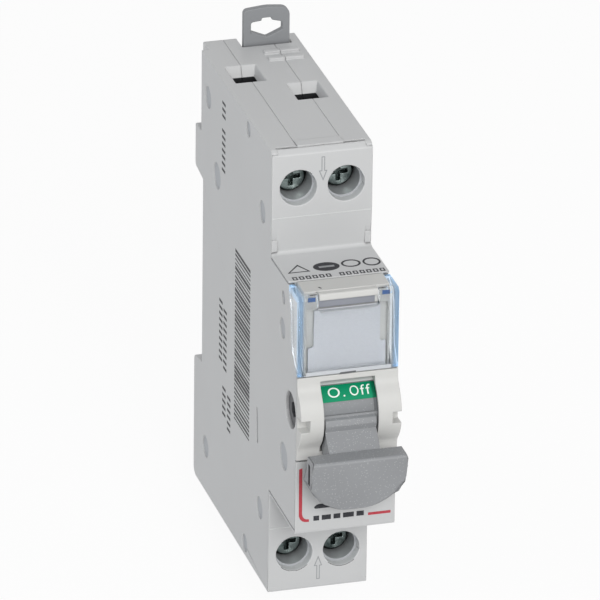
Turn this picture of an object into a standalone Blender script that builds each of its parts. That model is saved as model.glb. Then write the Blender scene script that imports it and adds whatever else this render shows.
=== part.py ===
"""Two-pole switch disconnector, one module wide, for a 35 mm top-hat rail.

Frame: metres, +Z up, the front faces -Y and +X is to the right seen from the front.
The origin is the middle of the rail seat: x = 0 in the middle of the width, y = 0 on the face that
bears on the rail, z = 0 on the rail's centre line. The switch is modelled in its OFF position.
"""
import math

import bmesh
import bpy
from mathutils import Matrix, Vector

OBJECT_NAME = "din_rail_switch_disconnector"

# Envelope of the casing
BODY_WIDTH = 0.0177
BODY_HEIGHT = 0.083
NOSE_HEIGHT = 0.0448
REAR_DEPTH = 0.0051
SHOULDER_DEPTH = 0.0443
NOSE_PROJECTION = 0.0164
BEZEL_PROUD = 0.0005

# Rail channel in the back
RAIL_HEIGHT = 0.035
RAIL_PLAY = 0.0001
FOOT_SLANT = 0.0007
FOOT_RADIUS = 0.0009
REAR_CORNER_RADIUS = 0.0016

# Outer edges
EDGE_RADIUS = 0.00035
INNER_RADIUS = 0.0008
CHAMFER_RUN = 0.00116
CHAMFER_DROP = 0.0008
SHOULDER_TAPER = 0.0005
TAPER_START = 0.01225

# Walls and fits
GAP = 0.0003
SIDE_WALL = 0.00105
END_WALL = 0.003
SEAT_WALL = 0.0013
FRONT_SKIN = 0.0019
FRONT_LIP = 0.00035
PLATE_SKIN = 0.0014
PARTITION = 0.0012
MIDDLE_WIDTH = 0.0081
PIN_FIT = 0.00015

# Raised rim and ribs on the top face, and the cross slit of the right seam
RIM_HEIGHT = 0.00025
RIM_REAR_DEPTH = 0.0405
RIB_HEIGHT = 0.0005
RIB_WIDTH = 0.00115
RIB_DEPTHS = (0.0028, 0.00585)
RIB_START = 0.0012
RIB_END = 0.0074

# Ejector and gate marks in the left side: depth, distance from the end face, diameter
MARK_DEPTH = 0.00035
UPPER_MARKS = ((0.0030, 0.0071, 0.0040), (0.0290, 0.0021, 0.0028))
LOWER_MARKS = ((0.0028, 0.0087, 0.0040), (0.0290, 0.0023, 0.0033))
POST_MARKS = ((0, 0.0048), (2, 0.0040), (3, 0.0040), (4, 0.0037), (5, 0.0050))
NOSE_MARK = (0.0093, 0.0181, 0.0023)
SLOT_MARK = (0.0363, -0.0131)
SLOT_MARK_LENGTH = 0.0065
SLOT_MARK_WIDTH = 0.0009
SLOT_MARK_LEAN_DEG = 5.0

# Notch of the left cover beside the upper foot
NOTCH_WIDTH = 0.00125
NOTCH_DEPTH = 0.0037
NOTCH_HEIGHT = 0.0153

# Terminals
POLE_OFFSET = 0.0042
SCREW_DROP = 0.0070
SCREW_BORE = 0.0065
SCREW_HEAD_DIAMETER = 0.0056
SCREW_HEAD_LENGTH = 0.0024
SCREW_HEAD_SUNK = 0.0051
SCREW_SHANK = 0.0040
SCREW_RECESS_WIDTH = 0.0034
SCREW_RECESS_DEPTH = 0.0013
SCREW_SLOT_WIDTH = 0.0008
SCREW_LEDGE = 0.0015
SHELF_GAP = 0.0030
SHELF_THICKNESS = 0.0012
SHELF_SETBACK = 0.0103
LEFT_ENTRY_DEPTH = 0.0105
RIGHT_ENTRY_DEPTH = 0.0200
ENTRY_MOUTH_WIDTH = 0.0055
ENTRY_MOUTH_LENGTH = 0.0073
ENTRY_THROAT_WIDTH = 0.0043
ENTRY_THROAT_LENGTH = 0.0052
ENTRY_FUNNEL = 0.0022
CAGE_WIDTH = 0.0062
CAGE_HEIGHT = 0.0072
CAGE_SIDE_WALL = 0.0008
CAGE_FRONT_WALL = 0.0026
CAGE_REAR_WALL = 0.0012
CABLE_SPACE = 0.0052
CAGE_SLACK = 0.0004

# Contacts
STRIP_WIDTH = 0.0027
STRIP_THICKNESS = 0.001
STRIP_INNER_EDGE = 0.0034
STRIP_BEND_RADIUS = 0.0012
STRIP_RUN_HEIGHT = 0.0150
STRIP_END_HEIGHT = 0.0052
CONTACT_REACH = 0.0092
CONTACT_TIP_HEIGHT = 0.0006
CONTACT_TIP_LENGTH = 0.0030
ROTOR_DEPTH = 0.030
ROTOR_DISC_RADIUS = 0.0086
ROTOR_DISC_THICKNESS = 0.0014
ROTOR_DISC_INNER = 0.0009
ROTOR_SHAFT_RADIUS = 0.0031
ROTOR_SHAFT_END = 0.0070
ROTOR_JOURNAL_RADIUS = 0.0015
ROTOR_JOURNAL_END = 0.0082
ROTOR_BRIDGE_RADIUS = 0.0010
ROTOR_BRIDGE_OFFSET = 0.0064
JOURNAL_BOSS_RADIUS = 0.0029
JOURNAL_BOSS_HEIGHT = 0.0004

# Toggle
TOGGLE_SETBACK = 0.0042
TOGGLE_HEIGHT = -0.0006
TOGGLE_TRAVEL_DEG = 75.0
DRUM_RADIUS = 0.0060
DRUM_WIDTH = 0.0104
NECK_WIDTH = 0.0090
HUB_RADIUS = 0.0030
HUB_FIT = 0.0003
HUB_SUNK = 0.0006
HUB_SOCKET = 0.0030
HUB_SOCKET_DEPTH = 0.0030
CRANK_RADIUS = 0.0040
LINK_THICKNESS = 0.0012
LINK_EYE_RADIUS = 0.0018
LINK_PIN_RADIUS = 0.0009
LINK_PIN_LENGTH = 0.0066
PADDLE_WIDTH = 0.0177
PADDLE_TOP_WIDTH = 0.0162
PADDLE_ARC_SLACK = 0.00059
PADDLE_TOP = -0.0052
PADDLE_BOTTOM = -0.0158
PADDLE_REACH = 0.0128
PADDLE_LEAN = 0.00285
PADDLE_TOP_THICKNESS = 0.0039
PADDLE_FOOT_THICKNESS = 0.0020
PADDLE_EDGE = 0.0004

# Bezel with the toggle window
BEZEL_TOP = 0.00707
BEZEL_BOTTOM = -0.00865
BEZEL_THICKNESS = 0.0019
WINDOW_WIDTH = 0.0096
WINDOW_TOP = 0.0061
WINDOW_BOTTOM = -0.0070
CHEEK_RADIUS = 0.0069
CHEEK_WALL = 0.0006
CHEEK_BLEND = 0.0025
CHEEK_NOTCH_HEIGHT = 0.0022
CHEEK_NOTCH_WIDTH = 0.0016

# Label holder
COVER_THICKNESS = 0.0010
FLANGE_THICKNESS = 0.00105
FLANGE_DEPTH = 0.0058
FLANGE_WAIST_DEPTH = 0.0039
FLANGE_WAIST_HEIGHT = 0.0050
FLANGE_WAIST_DROP = 0.0011
HINGE_SETBACK = 0.00065
HINGE_DROP = 0.0009
HINGE_LUG_RADIUS = 0.0007
HINGE_LUG_LENGTH = 0.0010
PANEL_WIDTH = 0.0150
PANEL_THICKNESS = 0.0011
TOP_STRIP_THICKNESS = 0.0012
TAB_WIDTH = 0.0103
TAB_DROP = 0.0014
COVER_NOTCH_WIDTH = 0.0107
COVER_NOTCH_DROP = 0.0034
CARD_WIDTH = 0.0136
CARD_THICKNESS = 0.0003
CARD_MARGIN = 0.0005

# Rail claws
CLAW_WIDTH = 0.0083
CLAW_OFFSET = 0.0028
CLAW_THICKNESS = 0.0013
CLAW_FRONT = 0.0012
CLAW_REACH = 0.0070
CLAW_HOOK = 0.0015
HOOK_RELIEF = 0.0004
CLAW_TRAVEL = 0.0030
CLAW_EYE_WIDTH = 0.0056
CLAW_EYE_BOTTOM = 0.0013
CLAW_EYE_TOP = 0.0044

# Pins that join the three casing pieces
POST_RADIUS = 0.0013
POST_BOSS_RADIUS = 0.0021
POST_SOCKET_DEPTH = 0.0016
REAR_POST_DEPTH = 0.0091
REAR_POST_HEIGHT = 0.0222
SHOULDER_POST_SETBACK = 0.0061
SHOULDER_POST_DROP = 0.0065
NOSE_POST_SETBACK = 0.0097
NOSE_POST_HEIGHT = 0.0122
PLATE_POST_SETBACK = 0.0082
PLATE_POST_HEIGHT = -0.0112

# Round faceting
ROUND_STEPS = 32
CORNER_STEPS = 4

HALF_WIDTH = BODY_WIDTH / 2
TOP = BODY_HEIGHT / 2
NOSE_TOP = NOSE_HEIGHT / 2
PLATE_DEPTH = SHOULDER_DEPTH + NOSE_PROJECTION
BEZEL_DEPTH = PLATE_DEPTH + BEZEL_PROUD
PADDLE_ARC_RADIUS = PADDLE_WIDTH / 2 + PADDLE_ARC_SLACK
TOGGLE_DEPTH = BEZEL_DEPTH - TOGGLE_SETBACK
PADDLE_FRONT_DEPTH = TOGGLE_DEPTH + PADDLE_REACH
HINGE_DEPTH = BEZEL_DEPTH - HINGE_SETBACK
HINGE_HEIGHT = NOSE_TOP - HINGE_DROP
FLANGE_REAR_DEPTH = BEZEL_DEPTH - FLANGE_DEPTH
COVER_NOTCH_BOTTOM = NOSE_TOP - COVER_NOTCH_DROP
SCREW_HEIGHT = TOP - SCREW_DROP
SHOULDER_POST_HEIGHT = SCREW_HEIGHT - SHOULDER_POST_DROP
POST_PLACES = ((-REAR_POST_DEPTH, REAR_POST_HEIGHT), (-REAR_POST_DEPTH, -REAR_POST_HEIGHT),
               (SHOULDER_POST_SETBACK - SHOULDER_DEPTH, SHOULDER_POST_HEIGHT),
               (SHOULDER_POST_SETBACK - SHOULDER_DEPTH, -SHOULDER_POST_HEIGHT),
               (NOSE_POST_SETBACK - BEZEL_DEPTH, NOSE_POST_HEIGHT),
               (PLATE_POST_SETBACK - BEZEL_DEPTH, PLATE_POST_HEIGHT))
RAIL_TOP = RAIL_HEIGHT / 2 + RAIL_PLAY
MIDDLE_HALF = MIDDLE_WIDTH / 2
COVER_INNER = MIDDLE_HALF + GAP
TOGGLE_Y = -TOGGLE_DEPTH
ROTOR_Y = -ROTOR_DEPTH
CRANK_ANGLE = math.radians(TOGGLE_TRAVEL_DEG / 2)
CRANK_Y = CRANK_RADIUS * math.cos(CRANK_ANGLE)
CRANK_Z = CRANK_RADIUS * math.sin(CRANK_ANGLE)
FAR = 0.02


def clear_scene():
    """Remove every object of the open scene."""
    for scene_object in list(bpy.data.objects):
        bpy.data.objects.remove(scene_object, do_unlink=True)


def new_collection(name):
    """Return a new collection linked to the scene."""
    collection = bpy.data.collections.new(name)
    bpy.context.scene.collection.children.link(collection)
    return collection


clear_scene()
PARTS = new_collection(OBJECT_NAME)
CUTTERS = new_collection("cutters")


def material(name, colour, roughness, metallic=0.0, transmission=0.0):
    """Return a Principled material."""
    made = bpy.data.materials.new(name)
    made.use_nodes = True
    shader = made.node_tree.nodes["Principled BSDF"]
    shader.inputs["Base Color"].default_value = (*colour, 1.0)
    shader.inputs["Roughness"].default_value = roughness
    shader.inputs["Metallic"].default_value = metallic
    shader.inputs["Transmission Weight"].default_value = transmission
    return made


def rounded(corners, steps=CORNER_STEPS):
    """Return the points of an outline whose corners (u, v, radius) are rounded by arcs."""
    points = []
    count = len(corners)
    for index, (u, v, radius) in enumerate(corners):
        corner = Vector((u, v))
        before = Vector(corners[index - 1][:2]) - corner
        after = Vector(corners[(index + 1) % count][:2]) - corner
        if radius <= 0.0:
            points.append((u, v))
            continue
        turn = before.angle(after)
        reach = radius / math.tan(turn / 2)
        centre = corner + (before.normalized() + after.normalized()).normalized() * (
            radius / math.sin(turn / 2))
        start = corner + before.normalized() * reach - centre
        end = corner + after.normalized() * reach - centre
        sweep = start.angle_signed(end)
        for step in range(steps + 1):
            angle = -sweep * step / steps
            arm = Matrix.Rotation(angle, 2) @ start
            points.append((centre.x + arm.x, centre.y + arm.y))
    return points


def arc(centre_u, centre_v, radius, start_deg, end_deg, steps):
    """Return points along an arc, angles measured from +u towards +v."""
    return [(centre_u + radius * math.cos(math.radians(start_deg + (end_deg - start_deg) * i / steps)),
             centre_v + radius * math.sin(math.radians(start_deg + (end_deg - start_deg) * i / steps)))
            for i in range(steps + 1)]


AXES = {
    "x": Matrix(((0, 0, 1), (1, 0, 0), (0, 1, 0))),
    "y": Matrix(((-1, 0, 0), (0, 0, 1), (0, 1, 0))),
    "z": Matrix(((1, 0, 0), (0, 1, 0), (0, 0, 1))),
}


def prism(name, outline, low, high, axis="x", collection=None):
    """Extrude a flat outline from low to high along an axis and return it as a mesh object.

    The outline is (y, z) for axis x, (-x, z) for axis y and (x, y) for axis z.
    """
    curve = bpy.data.curves.new(name, "CURVE")
    curve.dimensions = "2D"
    curve.fill_mode = "BOTH"
    curve.extrude = (high - low) / 2
    spline = curve.splines.new("POLY")
    spline.points.add(len(outline) - 1)
    for point, (u, v) in zip(spline.points, outline):
        point.co = (u, v, 0.0, 1.0)
    spline.use_cyclic_u = True
    flat = bpy.data.objects.new(name + "_outline", curve)
    turn = AXES[axis].to_4x4()
    flat.matrix_world = turn @ Matrix.Translation((0.0, 0.0, (low + high) / 2))
    CUTTERS.objects.link(flat)
    bpy.context.view_layer.update()
    graph = bpy.context.evaluated_depsgraph_get()
    mesh = bpy.data.meshes.new_from_object(flat.evaluated_get(graph))
    mesh.transform(flat.matrix_world)
    bpy.data.objects.remove(flat, do_unlink=True)
    return solid_from_mesh(name, mesh, collection)


def solid_from_mesh(name, mesh, collection=None):
    """Weld a mesh, turn its faces outwards and link it as an object."""
    welded = bmesh.new()
    welded.from_mesh(mesh)
    bmesh.ops.remove_doubles(welded, verts=welded.verts, dist=1e-6)
    bmesh.ops.recalc_face_normals(welded, faces=welded.faces)
    welded.to_mesh(mesh)
    welded.free()
    mesh.name = name
    solid = bpy.data.objects.new(name, mesh)
    (collection or CUTTERS).objects.link(solid)
    return solid


def box(name, x_range, y_range, z_range, collection=None):
    """Return a box between three ranges."""
    sizes = [high - low for low, high in (x_range, y_range, z_range)]
    centre = [(low + high) / 2 for low, high in (x_range, y_range, z_range)]
    cube = bmesh.new()
    bmesh.ops.create_cube(cube, size=1.0)
    bmesh.ops.scale(cube, vec=sizes, verts=cube.verts)
    bmesh.ops.translate(cube, vec=centre, verts=cube.verts)
    mesh = bpy.data.meshes.new(name)
    cube.to_mesh(mesh)
    cube.free()
    solid = bpy.data.objects.new(name, mesh)
    (collection or CUTTERS).objects.link(solid)
    return solid


def cylinder(name, radius, start, end, collection=None, steps=ROUND_STEPS):
    """Return a cylinder between two points."""
    start = Vector(start)
    end = Vector(end)
    along = end - start
    cone = bmesh.new()
    bmesh.ops.create_cone(cone, cap_ends=True, cap_tris=False, segments=steps, radius1=radius,
                          radius2=radius, depth=along.length)
    turn = along.to_track_quat("Z", "Y").to_matrix().to_4x4()
    place = Matrix.Translation((start + end) / 2) @ turn
    bmesh.ops.transform(cone, matrix=place, verts=cone.verts)
    mesh = bpy.data.meshes.new(name)
    cone.to_mesh(mesh)
    cone.free()
    mesh.shade_smooth()
    mesh.set_sharp_from_angle(angle=math.radians(30))
    solid = bpy.data.objects.new(name, mesh)
    (collection or CUTTERS).objects.link(solid)
    return solid


def boolean(target, tool, operation):
    """Put a Boolean modifier on the target that uses the tool."""
    tool.hide_render = True
    tool.display_type = "WIRE"
    modifier = target.modifiers.new(f"{operation.lower()} {tool.name}", "BOOLEAN")
    modifier.operation = operation
    modifier.solver = "EXACT"
    modifier.object = tool


def cut(target, *tools):
    """Take each tool away from the target."""
    for tool in tools:
        boolean(target, tool, "DIFFERENCE")


def join(target, *tools):
    """Unite each tool with the target."""
    for tool in tools:
        boolean(target, tool, "UNION")


def keep_common(target, tool):
    """Keep what the target and the tool share."""
    boolean(target, tool, "INTERSECT")


def finish(solid, finish_material):
    """Move a finished solid to the parts and give it its material."""
    if solid.name in CUTTERS.objects:
        CUTTERS.objects.unlink(solid)
    if solid.name not in PARTS.objects:
        PARTS.objects.link(solid)
    solid.data.materials.clear()
    solid.data.materials.append(finish_material)
    return solid


def pivot(solid, place):
    """Put the object's origin on its joint axis and leave its shape where it is."""
    solid.data.transform(Matrix.Translation(-Vector(place)))
    solid.location = place
    return solid


CASING_GREY = material("casing_grey", (0.57, 0.59, 0.60), 0.5)
BEZEL_WHITE = material("bezel_white", (0.69, 0.69, 0.67), 0.45)
TOGGLE_GREY = material("toggle_grey", (0.26, 0.27, 0.28), 0.5)
CLAW_GREY = material("claw_grey", (0.26, 0.27, 0.28), 0.5)
CLEAR_BLUE = material("clear_blue", (0.75, 0.87, 0.95), 0.1, transmission=0.9)
CARD_LILAC = material("card_lilac", (0.55, 0.57, 0.62), 0.7)
ROTOR_BLACK = material("rotor_black", (0.03, 0.03, 0.035), 0.5)
ZINC = material("zinc", (0.6, 0.62, 0.65), 0.3, metallic=1.0)
COPPER = material("copper", (0.8, 0.45, 0.3), 0.3, metallic=1.0)
SPRING_STEEL = material("spring_steel", (0.5, 0.5, 0.5), 0.3, metallic=1.0)


def body_outline():
    """Return the side outline of the whole casing, (y, z) points."""
    taper_z = TOP - TAPER_START
    return rounded([
        (REAR_DEPTH, TOP, EDGE_RADIUS),
        (REAR_DEPTH, RAIL_TOP + FOOT_SLANT, FOOT_RADIUS),
        (0.0, RAIL_TOP, 0.0),
        (0.0, -RAIL_TOP, 0.0),
        (REAR_DEPTH, -RAIL_TOP - FOOT_SLANT, FOOT_RADIUS),
        (REAR_DEPTH, -TOP, REAR_CORNER_RADIUS),
        (-SHOULDER_DEPTH, -TOP, EDGE_RADIUS),
        (-SHOULDER_DEPTH, -NOSE_TOP, INNER_RADIUS),
        (-PLATE_DEPTH, -NOSE_TOP, EDGE_RADIUS),
        (-PLATE_DEPTH, NOSE_TOP, 0.0),
        (SHOULDER_TAPER - SHOULDER_DEPTH, NOSE_TOP, INNER_RADIUS),
        (-SHOULDER_DEPTH, taper_z, 0.0),
        (-SHOULDER_DEPTH, TOP - CHAMFER_DROP, EDGE_RADIUS),
        (CHAMFER_RUN - SHOULDER_DEPTH, TOP, EDGE_RADIUS),
    ])


def behind_skin(shoulder_skin, plate_skin):
    """Return the outline of all that lies behind a front skin of the given thicknesses."""
    shoulder = -SHOULDER_DEPTH + shoulder_skin
    nose = NOSE_TOP - shoulder_skin
    plate = -PLATE_DEPTH + plate_skin
    high = TOP + FAR
    rear = REAR_DEPTH + FAR
    return [(rear, high), (shoulder, high), (shoulder, nose), (plate, nose), (plate, -nose),
            (shoulder, -nose), (shoulder, -high), (rear, -high)]


def flange_outline(grow=0.0):
    """Return the side outline of the label cover, grown by a clearance."""
    reach = HINGE_DEPTH - FLANGE_REAR_DEPTH + grow
    top = min(NOSE_TOP - 0.0004, HINGE_HEIGHT + reach) + grow
    rear_top_angle = math.degrees(math.asin((top - HINGE_HEIGHT) / reach))
    outline = arc(-HINGE_DEPTH, HINGE_HEIGHT, reach, rear_top_angle, -38.0, 8)
    waist = BEZEL_TOP + FLANGE_WAIST_HEIGHT
    outline += [(-BEZEL_DEPTH + FLANGE_WAIST_DEPTH + grow, waist),
                (-BEZEL_DEPTH + FLANGE_WAIST_DEPTH - 0.0002 + grow, waist - FLANGE_WAIST_DROP)]
    outline += [(-BEZEL_DEPTH + 0.0004 + grow, BEZEL_TOP + 0.0002 - grow),
                (-BEZEL_DEPTH - grow, BEZEL_TOP + 0.0002 - grow),
                (-BEZEL_DEPTH - grow, top - 0.0006), (-BEZEL_DEPTH + 0.0006, top)]
    return outline


def terminal_places():
    """Yield (name, side, end, entry depth) of the four terminals."""
    for end_name, end in (("upper", 1), ("lower", -1)):
        for side_name, side, depth in (("left", -1, LEFT_ENTRY_DEPTH), ("right", 1, RIGHT_ENTRY_DEPTH)):
            yield f"{end_name}_{side_name}", side, end, depth


def cable_entry(name, side, end, depth):
    """Return the cutter of the funnel and throat through which a cable reaches its cage."""
    spread = 2.0
    rings = ((TOP + ENTRY_FUNNEL, spread), (TOP - ENTRY_FUNNEL, 0.0), (TOP - END_WALL - FRONT_SKIN, 0.0))
    centre_x = side * POLE_OFFSET
    funnel = bmesh.new()
    rows = []
    for height, share in rings:
        width = ENTRY_THROAT_WIDTH + share * (ENTRY_MOUTH_WIDTH - ENTRY_THROAT_WIDTH)
        length = ENTRY_THROAT_LENGTH + share * (ENTRY_MOUTH_LENGTH - ENTRY_THROAT_LENGTH)
        rows.append([funnel.verts.new((centre_x + sx * width / 2, -depth + sy * length / 2, end * height))
                     for sx, sy in ((-1, -1), (1, -1), (1, 1), (-1, 1))])
    for upper, lower in zip(rows, rows[1:]):
        for index in range(4):
            other = (index + 1) % 4
            funnel.faces.new((upper[index], upper[other], lower[other], lower[index]))
    funnel.faces.new(rows[0])
    funnel.faces.new(rows[-1])
    bmesh.ops.recalc_face_normals(funnel, faces=funnel.faces)
    mesh = bpy.data.meshes.new(name)
    funnel.to_mesh(mesh)
    funnel.free()
    cutter = bpy.data.objects.new(name, mesh)
    CUTTERS.objects.link(cutter)
    return cutter


def entry_cutters():
    """Return the cutters of all four cable entries, by terminal name."""
    return {name: cable_entry("entry_" + name, side, end, depth)
            for name, side, end, depth in terminal_places()}


def claw_channels(end):
    """Return the cutters of a claw's guide in the foot and of the relief in front of its hook."""
    end_name = "upper" if end > 0 else "lower"
    half = CLAW_WIDTH / 2 + GAP
    across = (CLAW_OFFSET - half, CLAW_OFFSET + half)
    low, high = sorted((end * RAIL_TOP, end * (TOP + FAR)))
    guide = box("claw_guide_" + end_name, across, (CLAW_FRONT - GAP, REAR_DEPTH + FAR), (low, high))
    low, high = sorted((end * (RAIL_TOP - CLAW_HOOK - GAP), end * (RAIL_TOP + GAP / 2)))
    relief = box("hook_relief_" + end_name, across, (-HOOK_RELIEF, REAR_DEPTH + FAR), (low, high))
    return guide, relief


def screw_tower(name, side, end):
    """Return the block behind the front skin that holds a terminal screw, and its bore cutters."""
    near, far = sorted((0.0, side * (HALF_WIDTH - SIDE_WALL - GAP)))
    half = CAGE_HEIGHT / 2 + 0.0001
    front = -SHOULDER_DEPTH
    ledge = front + SCREW_HEAD_SUNK + SCREW_HEAD_LENGTH + GAP
    height = end * SCREW_HEIGHT
    block = box("tower_" + name, (near, far), (front + FRONT_SKIN - 0.0002, ledge + SCREW_LEDGE),
                (height - half, height + half))
    x = side * POLE_OFFSET
    mouth = cylinder("mouth_" + name, SCREW_BORE / 2, (x, front - FAR, height),
                     (x, front + FRONT_SKIN, height))
    seat = cylinder("seat_" + name, SCREW_HEAD_DIAMETER / 2 + PIN_FIT, (x, front, height),
                    (x, ledge, height))
    hole = cylinder("hole_" + name, SCREW_SHANK / 2 + PIN_FIT, (x, front, height),
                    (x, ledge + FAR / 2, height))
    return block, (mouth, seat, hole)


def add_middle_casing(entries, channels):
    """Make the middle casing: front skin, centre partition, end walls, sockets and screw towers."""
    casing = prism("middle_casing", body_outline(), -HALF_WIDTH, HALF_WIDTH)
    inner_wall = HALF_WIDTH - SIDE_WALL
    for side_name, side in (("left", -1), ("right", 1)):
        low, high = sorted((side * MIDDLE_HALF, side * (inner_wall - GAP)))
        cut(casing, prism(f"{side_name}_side_space", behind_skin(FRONT_SKIN, PLATE_SKIN), low, high))
        low, high = sorted((side * (inner_wall - GAP - 0.0001), side * (HALF_WIDTH + FAR)))
        cut(casing, prism(f"{side_name}_wall_space", behind_skin(FRONT_LIP, FRONT_LIP), low, high))
        low, high = sorted((side * PARTITION / 2, side * (MIDDLE_HALF + 0.001)))
        inner_front = -SHOULDER_DEPTH + FRONT_SKIN
        inner_nose = NOSE_TOP - FRONT_SKIN
        inner_plate = -PLATE_DEPTH + PLATE_SKIN
        cavity = [(-SEAT_WALL, TOP - END_WALL), (inner_front, TOP - END_WALL), (inner_front, inner_nose),
                  (inner_plate, inner_nose), (inner_plate, -inner_nose), (inner_front, -inner_nose),
                  (inner_front, END_WALL - TOP), (-SEAT_WALL, END_WALL - TOP)]
        cut(casing, prism(f"{side_name}_pole_space", cavity, low, high))
    for name, side, end, _depth in terminal_places():
        block, bores = screw_tower(name, side, end)
        join(casing, block)
        cut(casing, *bores)
    for index, (y, z) in enumerate(POST_PLACES):
        boss = cylinder(f"post_boss_{index}", POST_BOSS_RADIUS, (-PARTITION / 2 - POST_SOCKET_DEPTH, y, z),
                        (PARTITION / 2 + POST_SOCKET_DEPTH, y, z), steps=16)
        join(casing, boss)
    for index, (y, z) in enumerate(POST_PLACES):
        for side in (-1, 1):
            start, end = (side * (PARTITION / 2), side * (PARTITION / 2 + FAR))
            cut(casing, cylinder(f"post_socket_{index}_{side}", POST_RADIUS + PIN_FIT, (start, y, z),
                                 (end, y, z), steps=16))
    for end in (-1, 1):
        shelf_top = SCREW_HEIGHT - CAGE_HEIGHT / 2 - SHELF_GAP
        low, high = sorted((end * shelf_top, end * (shelf_top - SHELF_THICKNESS)))
        half = STRIP_INNER_EDGE - GAP
        rib = box(f"terminal_shelf_{end}", (-half, half),
                  (-SHOULDER_DEPTH + SHELF_SETBACK, -SEAT_WALL + 0.0002), (low, high))
        join(casing, rib)
    window = prism("rotor_window", arc(ROTOR_Y, TOGGLE_HEIGHT, ROTOR_DISC_RADIUS - 0.0007, 0, 348.75, 31),
                   -PARTITION, PARTITION)
    half = CRANK_RADIUS + LINK_EYE_RADIUS + 0.0005
    slot = box("link_slot", (-PARTITION, PARTITION), (TOGGLE_Y, ROTOR_Y),
               (TOGGLE_HEIGHT - half, TOGGLE_HEIGHT + half))
    drum_space = cylinder("drum_space", DRUM_RADIUS + 0.0004, (-BODY_WIDTH, TOGGLE_Y, TOGGLE_HEIGHT),
                          (BODY_WIDTH, TOGGLE_Y, TOGGLE_HEIGHT))
    recess_rear = -FLANGE_REAR_DEPTH + GAP
    bezel_space = box("bezel_space", (-HALF_WIDTH - FAR, HALF_WIDTH + FAR), (-PLATE_DEPTH - FAR, recess_rear),
                      (BEZEL_BOTTOM - GAP / 2, NOSE_TOP + FAR))
    cut(casing, window, slot, drum_space, bezel_space)
    for index, depth in enumerate(RIB_DEPTHS):
        join(casing, top_rib(f"middle_rib_{index}", depth, RIB_START, MIDDLE_HALF))
    join(casing, box("top_rim", (-MIDDLE_HALF, MIDDLE_HALF),
                     (-SHOULDER_DEPTH + CHAMFER_RUN + 0.0001, -RIM_REAR_DEPTH), (TOP - 0.0004, TOP + RIM_HEIGHT)))
    for name in entries:
        cut(casing, entries[name])
    cut(casing, *channels)
    return finish(casing, CASING_GREY)


def strip_depths(entry_depth):
    """Return the front and rear y of a fixed contact strip inside its cage."""
    rear = -entry_depth - CABLE_SPACE / 2
    return rear - STRIP_THICKNESS, rear


def add_side_cover(side, entries, channels):
    """Make one side cover: a wall with rims at its ends and back, and joining pins inside."""
    name = "left_cover" if side < 0 else "right_cover"
    low, high = sorted((side * COVER_INNER, side * HALF_WIDTH))
    cover = prism(name, body_outline(), low, high)
    wall_start = side * (HALF_WIDTH - SIDE_WALL)
    low, high = sorted((side * (COVER_INNER - 0.001), side * (HALF_WIDTH + 0.001)))
    edge = prism(name + "_wall_front", front_of_cover(FRONT_LIP + GAP, FRONT_LIP + GAP), low, high)
    low, high = sorted((side * (COVER_INNER - 0.002), wall_start))
    front = prism(name + "_rim_front", front_of_cover(FRONT_SKIN + GAP, PLATE_SKIN + GAP), low, high)
    low, high = sorted((side * (COVER_INNER - 0.001), side * (HALF_WIDTH - SIDE_WALL)))
    hollow = box(name + "_hollow", (low, high), (-PLATE_DEPTH - FAR, -SEAT_WALL), (END_WALL - TOP, TOP - END_WALL))
    low, high = sorted((side * (COVER_INNER - 0.0015), side * (HALF_WIDTH + 0.0015)))
    flange_space = prism(name + "_flange_space", flange_outline(GAP), low, high)
    cut(cover, flange_space, edge, front, hollow)
    inner_wall = side * (HALF_WIDTH - SIDE_WALL)
    outer = inner_wall + side * SIDE_WALL / 2
    for index, (y, z) in enumerate(POST_PLACES):
        end = side * (PARTITION / 2 + GAP)
        join(cover, cylinder(f"{name}_post_{index}", POST_RADIUS, (outer, y, z), (end, y, z), steps=16))
    boss_end = inner_wall - side * JOURNAL_BOSS_HEIGHT
    join(cover, cylinder(name + "_journal_boss", JOURNAL_BOSS_RADIUS, (outer, ROTOR_Y, TOGGLE_HEIGHT),
                         (boss_end, ROTOR_Y, TOGGLE_HEIGHT)))
    journal_end = side * (ROTOR_JOURNAL_END + PIN_FIT)
    cut(cover, cylinder(name + "_journal_bore", ROTOR_JOURNAL_RADIUS + PIN_FIT,
                        (side * ROTOR_SHAFT_END, ROTOR_Y, TOGGLE_HEIGHT), (journal_end, ROTOR_Y, TOGGLE_HEIGHT)))
    cut(cover, cylinder(name + "_hub_hole", HUB_RADIUS + HUB_FIT,
                        (side * (HALF_WIDTH - FAR / 4), TOGGLE_Y, TOGGLE_HEIGHT),
                        (side * (HALF_WIDTH + FAR), TOGGLE_Y, TOGGLE_HEIGHT)))
    if side > 0:
        for index, depth in enumerate(RIB_DEPTHS):
            join(cover, top_rib(f"{name}_rib_{index}", depth, COVER_INNER, RIB_END))
    if side < 0:
        cut(cover, *side_marks(-HALF_WIDTH))
        notch_low = TOP - NOTCH_HEIGHT
        cut(cover, box(name + "_notch", (-HALF_WIDTH - FAR, NOTCH_WIDTH - HALF_WIDTH),
                       (REAR_DEPTH - NOTCH_DEPTH, REAR_DEPTH + FAR), (notch_low, TOP + FAR)))
    for place, (entry_side, _end) in (("upper_left", (-1, 1)), ("upper_right", (1, 1)),
                                      ("lower_left", (-1, -1)), ("lower_right", (1, -1))):
        if entry_side == side:
            cut(cover, entries[place])
    if side > 0:
        cut(cover, *channels)
    return finish(cover, CASING_GREY)


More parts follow.
